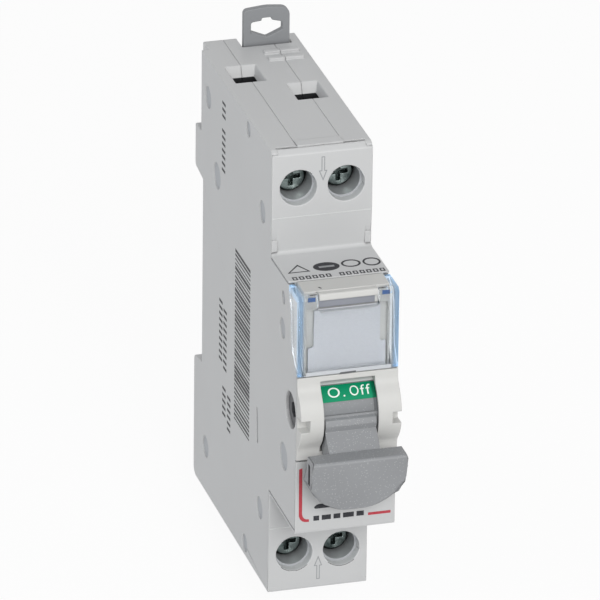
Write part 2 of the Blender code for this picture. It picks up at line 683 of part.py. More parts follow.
def front_of_cover(shoulder_skin, plate_skin):
    """Return the outline of all that lies in front of a side cover, skin clearances included."""
    behind = behind_skin(shoulder_skin, plate_skin)
    front = -PLATE_DEPTH - FAR
    high = TOP + FAR
    shoulder, plate, nose = behind[1][0], behind[3][0], behind[2][1]
    lip = -BEZEL_DEPTH + FRONT_LIP + GAP if shoulder_skin < FRONT_SKIN else plate
    step = BEZEL_BOTTOM + GAP / 2
    return [(front, high), (front, -high), (shoulder, -high), (shoulder, -nose), (plate, -nose),
            (plate, step), (lip, step), (lip, nose), (shoulder, nose), (shoulder, high)]


def side_marks(wall):
    """Return the cutters of the shallow round marks and the slot in a side wall's outer face."""
    floor = wall + MARK_DEPTH
    places = [(-depth, TOP - drop, diameter) for depth, drop, diameter in UPPER_MARKS]
    places += [(-depth, drop - TOP, diameter) for depth, drop, diameter in LOWER_MARKS]
    places += [(*POST_PLACES[index], diameter) for index, diameter in POST_MARKS]
    places.append((NOSE_MARK[0] - BEZEL_DEPTH, *NOSE_MARK[1:]))
    marks = [cylinder(f"side_mark_{index}", diameter / 2, (wall - 0.001, y, z), (floor, y, z), steps=20)
             for index, (y, z, diameter) in enumerate(places)]
    lean = math.radians(SLOT_MARK_LEAN_DEG)
    along = Vector((-math.sin(lean), -math.cos(lean))) * SLOT_MARK_LENGTH / 2
    across = Vector((along.y, -along.x)).normalized() * SLOT_MARK_WIDTH / 2
    centre = Vector((-SLOT_MARK[0], SLOT_MARK[1]))
    outline = [tuple(centre + u * along + v * across) for u, v in ((-1, -1), (-1, 1), (1, 1), (1, -1))]
    marks.append(prism("slot_mark", outline, wall - 0.001, floor))
    return marks


def top_rib(name, depth, low, high):
    """Return a rib that stands on the top face between two x positions."""
    half = RIB_WIDTH / 2
    return box(name, (low, high), (-depth - half, -depth + half), (TOP - 0.0004, TOP + RIB_HEIGHT))


def add_front_bezel():
    """Make the bezel: toggle window with round cheeks, label panel, hinge ears and top tab."""
    rear = -BEZEL_DEPTH + BEZEL_THICKNESS
    bottom = BEZEL_BOTTOM + GAP / 2
    reach = BEZEL_DEPTH - TOGGLE_DEPTH
    blend = CHEEK_RADIUS + CHEEK_BLEND
    rise = math.sqrt(blend ** 2 - (reach + CHEEK_BLEND) ** 2)
    tangent = math.degrees(math.atan2(rise, reach + CHEEK_BLEND))
    outline = [(rear, BEZEL_TOP), (-BEZEL_DEPTH, BEZEL_TOP)]
    outline += arc(-BEZEL_DEPTH - CHEEK_BLEND, TOGGLE_HEIGHT + rise, CHEEK_BLEND, 0.0, -tangent, 4)[:-1]
    outline += arc(TOGGLE_Y, TOGGLE_HEIGHT, CHEEK_RADIUS, 180 - tangent, 180 + tangent, 12)
    outline += arc(-BEZEL_DEPTH - CHEEK_BLEND, TOGGLE_HEIGHT - rise, CHEEK_BLEND, tangent, 0.0, 4)[1:]
    outline += [(-BEZEL_DEPTH, bottom + EDGE_RADIUS), (-BEZEL_DEPTH + EDGE_RADIUS, bottom), (rear, bottom)]
    frame = prism("front_bezel", outline, -HALF_WIDTH, HALF_WIDTH)
    half_window = WINDOW_WIDTH / 2
    cut(frame, box("bulge_gap", (-half_window, half_window), (-PLATE_DEPTH - FAR, -BEZEL_DEPTH),
                   (-FAR, FAR)))
    cut(frame, box("toggle_window", (-half_window, half_window), (-PLATE_DEPTH - FAR, rear + FAR),
                   (WINDOW_BOTTOM, WINDOW_TOP)))
    inner = HALF_WIDTH - SIDE_WALL
    hollow = DRUM_WIDTH / 2 + GAP
    cut(frame, cylinder("cheek_hollow", CHEEK_RADIUS - CHEEK_WALL, (-hollow, TOGGLE_Y, TOGGLE_HEIGHT),
                        (hollow, TOGGLE_Y, TOGGLE_HEIGHT)))
    cut(frame, cylinder("hub_space", HUB_RADIUS + 0.0006, (-HALF_WIDTH - FAR, TOGGLE_Y, TOGGLE_HEIGHT),
                        (HALF_WIDTH + FAR, TOGGLE_Y, TOGGLE_HEIGHT)))
    for side in (-1, 1):
        low, high = sorted((side * (inner - GAP), side * (HALF_WIDTH + FAR)))
        cut(frame, box(f"cover_seat_{side}", (low, high), (-BEZEL_DEPTH + FRONT_LIP, rear + FAR), (-FAR, FAR)))
    for side in (-1, 1):
        low, high = sorted((side * (HALF_WIDTH - CHEEK_NOTCH_WIDTH), side * (HALF_WIDTH + FAR)))
        cut(frame, box(f"cheek_notch_{side}", (low, high), (-BEZEL_DEPTH - FAR, -BEZEL_DEPTH - 0.0002),
                       (TOGGLE_HEIGHT - CHEEK_NOTCH_HEIGHT / 2 - 0.0003,
                        TOGGLE_HEIGHT + CHEEK_NOTCH_HEIGHT / 2 - 0.0003)))
    panel_front = -BEZEL_DEPTH + COVER_THICKNESS + GAP
    panel_rear = panel_front + PANEL_THICKNESS
    half = PANEL_WIDTH / 2
    top = NOSE_TOP
    join(frame, box("label_panel", (-half, half), (panel_front, panel_rear),
                    (BEZEL_TOP - 0.001, top - TOP_STRIP_THICKNESS / 2)))
    join(frame, box("top_strip", (-half, half), (panel_front, -FLANGE_REAR_DEPTH - GAP / 2),
                    (top - TOP_STRIP_THICKNESS, top)))
    join(frame, prism("top_tab", rounded([
        (panel_front + 0.0002, top - 0.0001, 0.0), (panel_front + 0.0002, top - TOP_STRIP_THICKNESS, 0.0),
        (panel_front - GAP, top - TAB_DROP, 0.0), (-BEZEL_DEPTH, top - TAB_DROP, EDGE_RADIUS),
        (-BEZEL_DEPTH, top - 0.0001, EDGE_RADIUS)]), -TAB_WIDTH / 2, TAB_WIDTH / 2))
    for side_name, side in (("left", -1), ("right", 1)):
        low, high = sorted((side * (half - 0.0014), side * half))
        join(frame, box(f"{side_name}_ear", (low, high), (panel_rear - 0.0001, -FLANGE_REAR_DEPTH - GAP / 2),
                        (BEZEL_TOP - 0.0005, top - 0.0001)))
        low, high = sorted((side * (half - 0.0018), side * (half + 0.001)))
        cut(frame, cylinder(f"{side_name}_hinge_hole", HINGE_LUG_RADIUS + PIN_FIT, (low, -HINGE_DEPTH, HINGE_HEIGHT),
                            (high, -HINGE_DEPTH, HINGE_HEIGHT), steps=16))
    card_top = COVER_NOTCH_BOTTOM
    cut(frame, box("card_recess", (-CARD_WIDTH / 2 - GAP, CARD_WIDTH / 2 + GAP),
                   (panel_front - FAR, panel_front + CARD_THICKNESS + GAP),
                   (BEZEL_TOP + CARD_MARGIN - GAP, card_top + GAP)))
    return finish(frame, BEZEL_WHITE)


def add_label_card():
    """Make the label card in its recess, with a finger cut-out on each side."""
    front = -BEZEL_DEPTH + COVER_THICKNESS + GAP
    half = CARD_WIDTH / 2
    waist = half - 0.0010
    low = BEZEL_TOP + CARD_MARGIN
    high = COVER_NOTCH_BOTTOM
    notch_low = 0.0121
    outline = rounded([(-half, low, 0.0), (half, low, 0.0), (half, notch_low, 0.0),
                       (waist, notch_low, 0.0005), (waist, high, 0.0), (-waist, high, 0.0),
                       (-waist, notch_low, 0.0005), (-half, notch_low, 0.0)])
    card = prism("label_card", outline, front, front + CARD_THICKNESS, axis="y")
    return finish(card, CARD_LILAC)


def add_label_cover():
    """Make the clear cover: a front panel and two side flanges that swing on hinge lugs."""
    cover = prism("label_cover", flange_outline(), -HALF_WIDTH, HALF_WIDTH)
    inner = HALF_WIDTH - FLANGE_THICKNESS
    cut(cover, box("cover_inside", (-inner, inner), (-BEZEL_DEPTH + COVER_THICKNESS, FAR),
                   (0.0, NOSE_TOP + FAR)))
    cut(cover, prism("cover_notch", rounded([
        (-COVER_NOTCH_WIDTH / 2, COVER_NOTCH_BOTTOM, 0.0006), (COVER_NOTCH_WIDTH / 2, COVER_NOTCH_BOTTOM, 0.0006),
        (COVER_NOTCH_WIDTH / 2, NOSE_TOP + FAR, 0.0), (-COVER_NOTCH_WIDTH / 2, NOSE_TOP + FAR, 0.0)]),
        -FAR * 4, 0.0, axis="y"))
    for side_name, side in (("left", -1), ("right", 1)):
        start, end = side * (inner + 0.0003), side * (inner - HINGE_LUG_LENGTH)
        join(cover, cylinder(f"{side_name}_lug", HINGE_LUG_RADIUS, (start, -HINGE_DEPTH, HINGE_HEIGHT),
                             (end, -HINGE_DEPTH, HINGE_HEIGHT), steps=16))
    return pivot(finish(cover, CLEAR_BLUE), (0.0, -HINGE_DEPTH, HINGE_HEIGHT))


def add_toggle():
    """Make the toggle: drum with bearing hubs, neck and D-shaped paddle, in the OFF position."""
    half = DRUM_WIDTH / 2
    drum = cylinder("toggle", DRUM_RADIUS, (-half, TOGGLE_Y, TOGGLE_HEIGHT), (half, TOGGLE_Y, TOGGLE_HEIGHT),
                    steps=48)
    hub_end = HALF_WIDTH - HUB_SUNK
    hub = cylinder("hub", HUB_RADIUS, (-hub_end, TOGGLE_Y, TOGGLE_HEIGHT), (hub_end, TOGGLE_Y, TOGGLE_HEIGHT))
    back = -PADDLE_FRONT_DEPTH + PADDLE_TOP_THICKNESS
    foot = -PADDLE_FRONT_DEPTH + PADDLE_LEAN
    profile = rounded([
        (back, PADDLE_TOP, EDGE_RADIUS), (-PADDLE_FRONT_DEPTH, PADDLE_TOP, 0.0006),
        (foot, PADDLE_BOTTOM, 0.0006), (foot + PADDLE_FOOT_THICKNESS, PADDLE_BOTTOM, 0.0006),
        (back + 0.0004, PADDLE_TOP - 0.0045, 0.0)])
    paddle = prism("paddle", profile, -PADDLE_WIDTH / 2, PADDLE_WIDTH / 2)
    centre_z = PADDLE_BOTTOM + PADDLE_ARC_RADIUS
    half_wide = PADDLE_WIDTH / 2
    side_angle = math.degrees(math.acos(half_wide / PADDLE_ARC_RADIUS))
    outline = arc(0.0, centre_z, PADDLE_ARC_RADIUS, -side_angle, side_angle - 180.0, 16)
    outline += [(-half_wide, PADDLE_TOP - 0.0022), (-PADDLE_TOP_WIDTH / 2, PADDLE_TOP + 0.0002),
                (PADDLE_TOP_WIDTH / 2, PADDLE_TOP + 0.0002), (half_wide, PADDLE_TOP - 0.0022)]
    shape = prism("paddle_shape", outline, -PADDLE_FRONT_DEPTH - FAR, 0.0, axis="y")
    keep_common(paddle, shape)
    soften = paddle.modifiers.new("edge", "BEVEL")
    soften.width = PADDLE_EDGE
    soften.segments = 2
    soften.limit_method = "ANGLE"
    soften.angle_limit = math.radians(40)
    neck_start = DRUM_RADIUS * 0.9
    neck = prism("neck", [
        (TOGGLE_Y - neck_start, TOGGLE_HEIGHT + 0.0009), (TOGGLE_Y - DRUM_RADIUS - 0.0004, TOGGLE_HEIGHT + 0.0002),
        (TOGGLE_Y - DRUM_RADIUS - 0.0007, TOGGLE_HEIGHT - 0.0008), (TOGGLE_Y - DRUM_RADIUS - 0.0004, -0.0025),
        (back - 0.0001, PADDLE_TOP), (back - 0.0010, PADDLE_TOP - 0.0020), (back - 0.0006, PADDLE_TOP - 0.0048),
        (back + 0.0010, PADDLE_TOP - 0.0042), (TOGGLE_Y - 0.0030, TOGGLE_HEIGHT - 0.0049),
        (TOGGLE_Y - 0.0020, TOGGLE_HEIGHT)], -NECK_WIDTH / 2, NECK_WIDTH / 2)
    link_space = box("link_space", (-LINK_THICKNESS / 2 - GAP, LINK_THICKNESS / 2 + GAP),
                     (TOGGLE_Y - 0.0012, TOGGLE_Y + FAR), (TOGGLE_HEIGHT - FAR / 2, TOGGLE_HEIGHT + FAR / 2))
    pin_hole = cylinder("front_pin_hole", LINK_PIN_RADIUS + PIN_FIT,
                        (-LINK_PIN_LENGTH / 2 - GAP, TOGGLE_Y + CRANK_Y, TOGGLE_HEIGHT + CRANK_Z),
                        (LINK_PIN_LENGTH / 2 + GAP, TOGGLE_Y + CRANK_Y, TOGGLE_HEIGHT + CRANK_Z), steps=16)
    join(drum, hub, neck, paddle)
    cut(drum, link_space, pin_hole)
    for side in (-1, 1):
        start, end = side * (hub_end - HUB_SOCKET_DEPTH), side * (hub_end + FAR)
        cut(drum, cylinder(f"hub_socket_{side}", HUB_SOCKET / 2, (start, TOGGLE_Y, TOGGLE_HEIGHT),
                           (end, TOGGLE_Y, TOGGLE_HEIGHT), steps=6))
        rib_low, rib_high = sorted((side * (half_wide - 0.0010), side * (half_wide + FAR)))
        cut(drum, box(f"paddle_slot_{side}", (rib_low, rib_high), (back - 0.0020, back - 0.0009),
                      (PADDLE_TOP - 0.0048, PADDLE_TOP - 0.0010)))
    return pivot(finish(drum, TOGGLE_GREY), (0.0, TOGGLE_Y, TOGGLE_HEIGHT))


def add_link_parts():
    """Make the link bar and the pins at its two eyes."""
    front = (TOGGLE_Y + CRANK_Y, TOGGLE_HEIGHT + CRANK_Z)
    rear = (ROTOR_Y + CRANK_Y, TOGGLE_HEIGHT + CRANK_Z)
    half = LINK_THICKNESS / 2
    outline = arc(front[0], front[1], LINK_EYE_RADIUS, 46.2, 313.8, 14)
    outline += arc(rear[0], rear[1], LINK_EYE_RADIUS, -133.8, 133.8, 14)
    link = prism("link_bar", outline, -half, half)
    pins = []
    for name, (y, z) in (("front_link_pin", front), ("rear_link_pin", rear)):
        cut(link, cylinder(name + "_eye", LINK_PIN_RADIUS + PIN_FIT, (-FAR, y, z), (FAR, y, z), steps=16))
        pin = cylinder(name, LINK_PIN_RADIUS, (-LINK_PIN_LENGTH / 2, y, z), (LINK_PIN_LENGTH / 2, y, z), steps=16)
        pins.append(finish(pin, SPRING_STEEL))
    pivot(finish(link, ZINC), (0.0, *front))
    return link, pins


def turned(y, z, angle_deg):
    """Turn a (y, z) offset about the rotor axis, positive from the front up and over to the back."""
    angle = math.radians(-angle_deg)
    return (y * math.cos(angle) - z * math.sin(angle), y * math.sin(angle) + z * math.cos(angle))


def contact_bar_outline():
    """Return the outline of a moving contact in the OFF position about the rotor axis."""
    reach = CONTACT_REACH
    half = STRIP_THICKNESS / 2
    tip = half + CONTACT_TIP_HEIGHT
    start = reach - CONTACT_TIP_LENGTH
    upright = [(-half, -start), (-half, reach), (tip, reach), (tip, start), (half, start),
               (half, -reach), (-tip, -reach), (-tip, -start)]
    return [tuple(a + b for a, b in zip(turned(y, z, -TOGGLE_TRAVEL_DEG), (ROTOR_Y, TOGGLE_HEIGHT)))
            for y, z in upright]


def add_contact_rotor():
    """Make the rotor that carries the moving contacts: discs, bridges, shaft ends and journals."""
    inner, outer = ROTOR_DISC_INNER, ROTOR_DISC_INNER + ROTOR_DISC_THICKNESS
    rotor = cylinder("contact_rotor", ROTOR_DISC_RADIUS, (inner, ROTOR_Y, TOGGLE_HEIGHT),
                     (outer, ROTOR_Y, TOGGLE_HEIGHT))
    other = cylinder("left_disc", ROTOR_DISC_RADIUS, (-outer, ROTOR_Y, TOGGLE_HEIGHT),
                     (-inner, ROTOR_Y, TOGGLE_HEIGHT))
    bridges = []
    for index, angle in enumerate((90.0, -90.0)):
        y, z = turned(CRANK_Y, CRANK_Z, angle)
        scale = ROTOR_BRIDGE_OFFSET / CRANK_RADIUS
        place = (ROTOR_Y + y * scale, TOGGLE_HEIGHT + z * scale)
        bridges.append(cylinder(f"bridge_{index}", ROTOR_BRIDGE_RADIUS, (-inner - 0.0003, *place),
                                (inner + 0.0003, *place), steps=16))
    join(rotor, *bridges)
    join(rotor, other)
    for side in (-1, 1):
        start = side * (outer - 0.0003)
        join(rotor, cylinder(f"shaft_{side}", ROTOR_SHAFT_RADIUS, (start, ROTOR_Y, TOGGLE_HEIGHT),
                             (side * ROTOR_SHAFT_END, ROTOR_Y, TOGGLE_HEIGHT)))
        join(rotor, cylinder(f"journal_{side}", ROTOR_JOURNAL_RADIUS, (start, ROTOR_Y, TOGGLE_HEIGHT),
                             (side * ROTOR_JOURNAL_END, ROTOR_Y, TOGGLE_HEIGHT)))
    y, z = ROTOR_Y + CRANK_Y, TOGGLE_HEIGHT + CRANK_Z
    cut(rotor, cylinder("rear_pin_hole", LINK_PIN_RADIUS + PIN_FIT, (-FAR, y, z), (FAR, y, z), steps=16))
    for side in (-1, 1):
        low, high = sorted((side * (STRIP_INNER_EDGE - PIN_FIT), side * (STRIP_INNER_EDGE + STRIP_WIDTH + PIN_FIT)))
        slot = [tuple(a + b for a, b in zip(turned(y, z, -TOGGLE_TRAVEL_DEG), (ROTOR_Y, TOGGLE_HEIGHT)))
                for y, z in ((-STRIP_THICKNESS / 2 - PIN_FIT, -FAR / 2), (-STRIP_THICKNESS / 2 - PIN_FIT, FAR / 2),
                             (STRIP_THICKNESS / 2 + PIN_FIT, FAR / 2), (STRIP_THICKNESS / 2 + PIN_FIT, -FAR / 2))]
        cut(rotor, prism(f"contact_slot_{side}", slot, low, high))
    return pivot(finish(rotor, ROTOR_BLACK), (0.0, ROTOR_Y, TOGGLE_HEIGHT))


def add_moving_contact(side):
    """Make one moving contact, a bar with a tip at each end."""
    low, high = sorted((side * STRIP_INNER_EDGE, side * (STRIP_INNER_EDGE + STRIP_WIDTH)))
    name = "moving_contact_left" if side < 0 else "moving_contact_right"
    bar = prism(name, contact_bar_outline(), low, high)
    return pivot(finish(bar, COPPER), (0.0, ROTOR_Y, TOGGLE_HEIGHT))


def strip_outline(path, thickness):
    """Return the outline of a bent strip from its front-side path of (y, z) points."""
    half = thickness / 2
    sides = ([], [])
    for index, point in enumerate(path):
        here = Vector(point)
        before = (here - Vector(path[index - 1])).normalized() if index else None
        after = (Vector(path[index + 1]) - here).normalized() if index + 1 < len(path) else None
        along = (before or after) + (after or before)
        along.normalize()
        normal = Vector((-along.y, along.x))
        stretch = 1.0 / max(normal.dot(Vector((-(after or before).y, (after or before).x))), 0.2)
        for sign, row in zip((1, -1), sides):
            row.append(tuple(here + normal * sign * half * stretch))
    corners = []
    for row, sign in ((sides[0], 1), (sides[1][::-1], -1)):
        for index, point in enumerate(row):
            inside = 0 < index < len(row) - 1
            corners.append((*point, STRIP_BEND_RADIUS if inside else 0.0))
    return rounded(corners, 3)


def add_fixed_contact(name, side, end, depth):
    """Make a fixed contact strip from its cage to the rotor, with a tip."""
    front, rear = strip_depths(depth)
    y = (front + rear) / 2
    lean = STRIP_THICKNESS / 2 + CONTACT_TIP_HEIGHT + GAP + STRIP_THICKNESS / 2
    contact_y = ROTOR_Y + end * lean
    run = end * STRIP_RUN_HEIGHT + TOGGLE_HEIGHT
    stop = end * STRIP_END_HEIGHT + TOGGLE_HEIGHT
    top = end * (SCREW_HEIGHT + CAGE_HEIGHT / 2 - 0.0002)
    path = [(y, top), (y, run), (contact_y, run), (contact_y, stop)]
    low, high = sorted((side * STRIP_INNER_EDGE, side * (STRIP_INNER_EDGE + STRIP_WIDTH)))
    strip = prism("fixed_contact_" + name, strip_outline(path, STRIP_THICKNESS), low, high)
    return finish(strip, COPPER)


def add_cage(name, side, end, depth):
    """Make a terminal cage, a steel frame round the cable and the strip."""
    front, rear = strip_depths(depth)
    inner_front = front - CAGE_SLACK
    inner_rear = rear + CABLE_SPACE
    x = side * POLE_OFFSET
    z = end * SCREW_HEIGHT
    half_z = CAGE_HEIGHT / 2
    outline = rounded([(-(x - CAGE_WIDTH / 2), inner_front - CAGE_FRONT_WALL, 0.0004),
                       (-(x + CAGE_WIDTH / 2), inner_front - CAGE_FRONT_WALL, 0.0004),
                       (-(x + CAGE_WIDTH / 2), inner_rear + CAGE_REAR_WALL, 0.0008),
                       (-(x - CAGE_WIDTH / 2), inner_rear + CAGE_REAR_WALL, 0.0008)])
    outline = [(-u, v) for u, v in outline]
    cage = prism("cage_" + name, outline, z - half_z, z + half_z, axis="z")
    inner_half = CAGE_WIDTH / 2 - CAGE_SIDE_WALL
    cut(cage, box(name + "_cage_inside", (x - inner_half, x + inner_half), (inner_front, inner_rear),
                  (z - half_z - 0.001, z + half_z + 0.001)))
    cut(cage, cylinder(name + "_cage_thread", SCREW_SHANK / 2 + PIN_FIT, (x, inner_front - CAGE_FRONT_WALL - 0.001, z),
                       (x, inner_front + 0.001, z)))
    return finish(cage, ZINC)


def add_screw(name, side, end, depth):
    """Make a terminal screw with a cross recess, its shank ending at the contact strip."""
    x = side * POLE_OFFSET
    z = end * SCREW_HEIGHT
    head_front = -SHOULDER_DEPTH + SCREW_HEAD_SUNK
    head_rear = head_front + SCREW_HEAD_LENGTH
    tip = strip_depths(depth)[0] - GAP
    radius = SCREW_HEAD_DIAMETER / 2
    shank = SCREW_SHANK / 2
    chamfer = 0.0004
    profile = [(0.0, head_front), (radius - chamfer, head_front), (radius, head_front + chamfer),
               (radius, head_rear), (shank, head_rear), (shank, tip - chamfer), (shank - chamfer, tip), (0.0, tip)]
    mesh = bpy.data.meshes.new("screw_" + name)
    line = bmesh.new()
    verts = [line.verts.new((r, 0.0, -y)) for r, y in profile]
    for first, second in zip(verts, verts[1:]):
        line.edges.new((first, second))
    line.to_mesh(mesh)
    line.free()
    screw = bpy.data.objects.new("screw_" + name, mesh)
    CUTTERS.objects.link(screw)
    turn = screw.modifiers.new("turn", "SCREW")
    turn.steps = 24
    turn.render_steps = 24
    turn.use_merge_vertices = True
    turn.merge_threshold = 0.00001
    turn.use_smooth_shade = False
    graph = bpy.context.evaluated_depsgraph_get()
    bpy.context.view_layer.update()
    round_mesh = bpy.data.meshes.new_from_object(screw.evaluated_get(graph))
    bpy.data.objects.remove(screw, do_unlink=True)
    round_mesh.transform(Matrix.Translation((x, 0.0, z)) @ Matrix.Rotation(math.radians(90), 4, "X"))
    solid = solid_from_mesh("screw_" + name, round_mesh)
    reach = SCREW_RECESS_WIDTH / 2
    for index, (wide, high) in enumerate(((reach, SCREW_SLOT_WIDTH / 2), (SCREW_SLOT_WIDTH / 2, reach))):
        cut(solid, box(f"{name}_recess_{index}", (x - wide, x + wide),
                       (head_front - 0.001, head_front + SCREW_RECESS_DEPTH), (z - high, z + high)))
    return pivot(finish(solid, ZINC), (x, head_front, z))


def add_claw(end):
    """Make a rail claw: a plastic slide with a hook behind the rail and an eye for a blade."""
    name = "upper_claw" if end > 0 else "lower_claw"
    half = CLAW_WIDTH / 2
    tip = TOP + CLAW_REACH
    outline = rounded([(-half, RAIL_TOP - CLAW_HOOK, 0.0003), (half, RAIL_TOP - CLAW_HOOK, 0.0003),
                       (half, tip - 0.0004, 0.0016), (0.0, tip, 0.008), (-half, tip - 0.0004, 0.0008)])
    outline = [(-(u + CLAW_OFFSET), end * v) for u, v in outline]
    claw = prism(name, outline, CLAW_FRONT, CLAW_FRONT + CLAW_THICKNESS, axis="y")
    eye_half = CLAW_EYE_WIDTH / 2
    low, high = TOP + CLAW_EYE_BOTTOM, TOP + CLAW_EYE_TOP
    eye = rounded([(0.0, low, 0.0), (eye_half, low + 0.0012, 0.0003), (eye_half, high - 0.0005, 0.0004),
                   (0.0009, high, 0.0), (0.0009, high + 0.0005, 0.0), (-0.0009, high + 0.0005, 0.0),
                   (-0.0009, high, 0.0), (-eye_half, high - 0.0002, 0.0004), (-eye_half, low + 0.0012, 0.0003)])
    eye = [(-(u + CLAW_OFFSET), end * v) for u, v in eye]
    cut(claw, prism(name + "_eye", eye, CLAW_FRONT - 0.001, CLAW_FRONT + CLAW_THICKNESS + 0.001, axis="y"))
    return finish(claw, CLAW_GREY)


def build():
    """Make every piece of the switch disconnector."""
    entries = entry_cutters()
    channels = [*claw_channels(1), *claw_channels(-1)]
    add_middle_casing(entries, channels)
    add_side_cover(-1, entries, channels)
    add_side_cover(1, entries, channels)
    add_front_bezel()
    add_label_card()
    add_label_cover()
    add_toggle()
    add_link_parts()
    add_contact_rotor()
    for side in (-1, 1):
        add_moving_contact(side)
    for name, side, end, depth in terminal_places():
        add_fixed_contact(name, side, end, depth)
        add_cage(name, side, end, depth)
        add_screw(name, side, end, depth)
    add_claw(1)
    add_claw(-1)


build()
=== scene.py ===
"""Dressed scene of a one-module switch disconnector for a 35 mm top-hat rail.

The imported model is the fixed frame. Each sub-assembly is a class that holds its sizes as dataclass
fields, builds its own meshes and dresses them. All lengths are in metres, +Z is up, the front faces
-Y and the origin is the middle of the rail seat.
"""
import logging
import math
from dataclasses import dataclass, field
from enum import Enum
from functools import cache
from typing import Callable, Optional, Sequence

import bmesh
import bpy
from mathutils import Matrix, Vector


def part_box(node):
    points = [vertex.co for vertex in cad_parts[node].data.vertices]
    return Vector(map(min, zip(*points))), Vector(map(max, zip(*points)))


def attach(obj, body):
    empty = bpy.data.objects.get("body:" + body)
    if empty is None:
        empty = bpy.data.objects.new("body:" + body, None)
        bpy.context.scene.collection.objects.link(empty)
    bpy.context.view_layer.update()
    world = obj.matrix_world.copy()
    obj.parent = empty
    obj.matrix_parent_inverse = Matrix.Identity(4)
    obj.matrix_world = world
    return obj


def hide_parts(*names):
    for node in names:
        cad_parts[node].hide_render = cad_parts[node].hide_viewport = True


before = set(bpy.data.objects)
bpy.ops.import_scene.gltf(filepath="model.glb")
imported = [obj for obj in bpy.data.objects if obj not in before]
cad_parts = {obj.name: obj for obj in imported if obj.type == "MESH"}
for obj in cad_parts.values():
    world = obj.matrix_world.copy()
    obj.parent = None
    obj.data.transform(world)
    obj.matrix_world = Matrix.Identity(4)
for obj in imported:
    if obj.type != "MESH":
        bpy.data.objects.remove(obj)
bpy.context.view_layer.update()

logging.basicConfig(level=logging.INFO, format="%(message)s")
LOG = logging.getLogger("switch_disconnector")

Point = tuple[float, float, float]
Flat = tuple[float, float]
Bounds = tuple[float, float, float, float]
Colour = tuple[float, float, float]
Rgba = tuple[float, float, float, float]
Shift = tuple[int, float, float]
Placer = Callable[[float, float, float], Point]
Zone = Callable[[Vector, Vector], bool]
Glyphs = tuple[list[Flat], list[tuple[int, ...]]]

MM = 0.001
FLOAT = "NodeSocketFloat"
VECTOR = "NodeSocketVector"
WHOLE = "NodeSocketInt"
MATERIAL = "NodeSocketMaterial"


def srgb(red: float, green: float, blue: float) -> Colour:
    """Turn a screen colour into scene-linear values.

    Args:
        red: Red from 0 to 255.
        green: Green from 0 to 255.
        blue: Blue from 0 to 255.

    Returns:
        The linear colour, each part from 0 to 1.
    """
    def linear(value: float) -> float:
        """Undo the screen's transfer curve for one channel."""
        share = value / 255.0
        return share / 12.92 if share <= 0.04045 else ((share + 0.055) / 1.055) ** 2.4

    return (linear(red), linear(green), linear(blue))


def rgba(colour: Colour, share: float = 1.0) -> Rgba:
    """Return a colour, times a share of its brightness, with full alpha."""
    return (*(part * share for part in colour), 1.0)


def lightened(colour: Colour, share: float) -> Rgba:
    """Return a colour moved a share of the way to white, with full alpha."""
    return (*(part + (1.0 - part) * share for part in colour), 1.0)


class Body(Enum):
    """The moving bodies of the switch that pieces ride on."""

    CASING = "casing"
    COVER = "label_cover"
    TOGGLE = "toggle"
    LINK = "link"
    ROTOR = "rotor"
    UPPER_CLAW = "upper_claw"
    LOWER_CLAW = "lower_claw"


class Side(Enum):
    """The two poles of the switch."""

    LEFT = -1
    RIGHT = 1


class End(Enum):
    """The two terminal ends of the switch."""

    UPPER = 1
    LOWER = -1


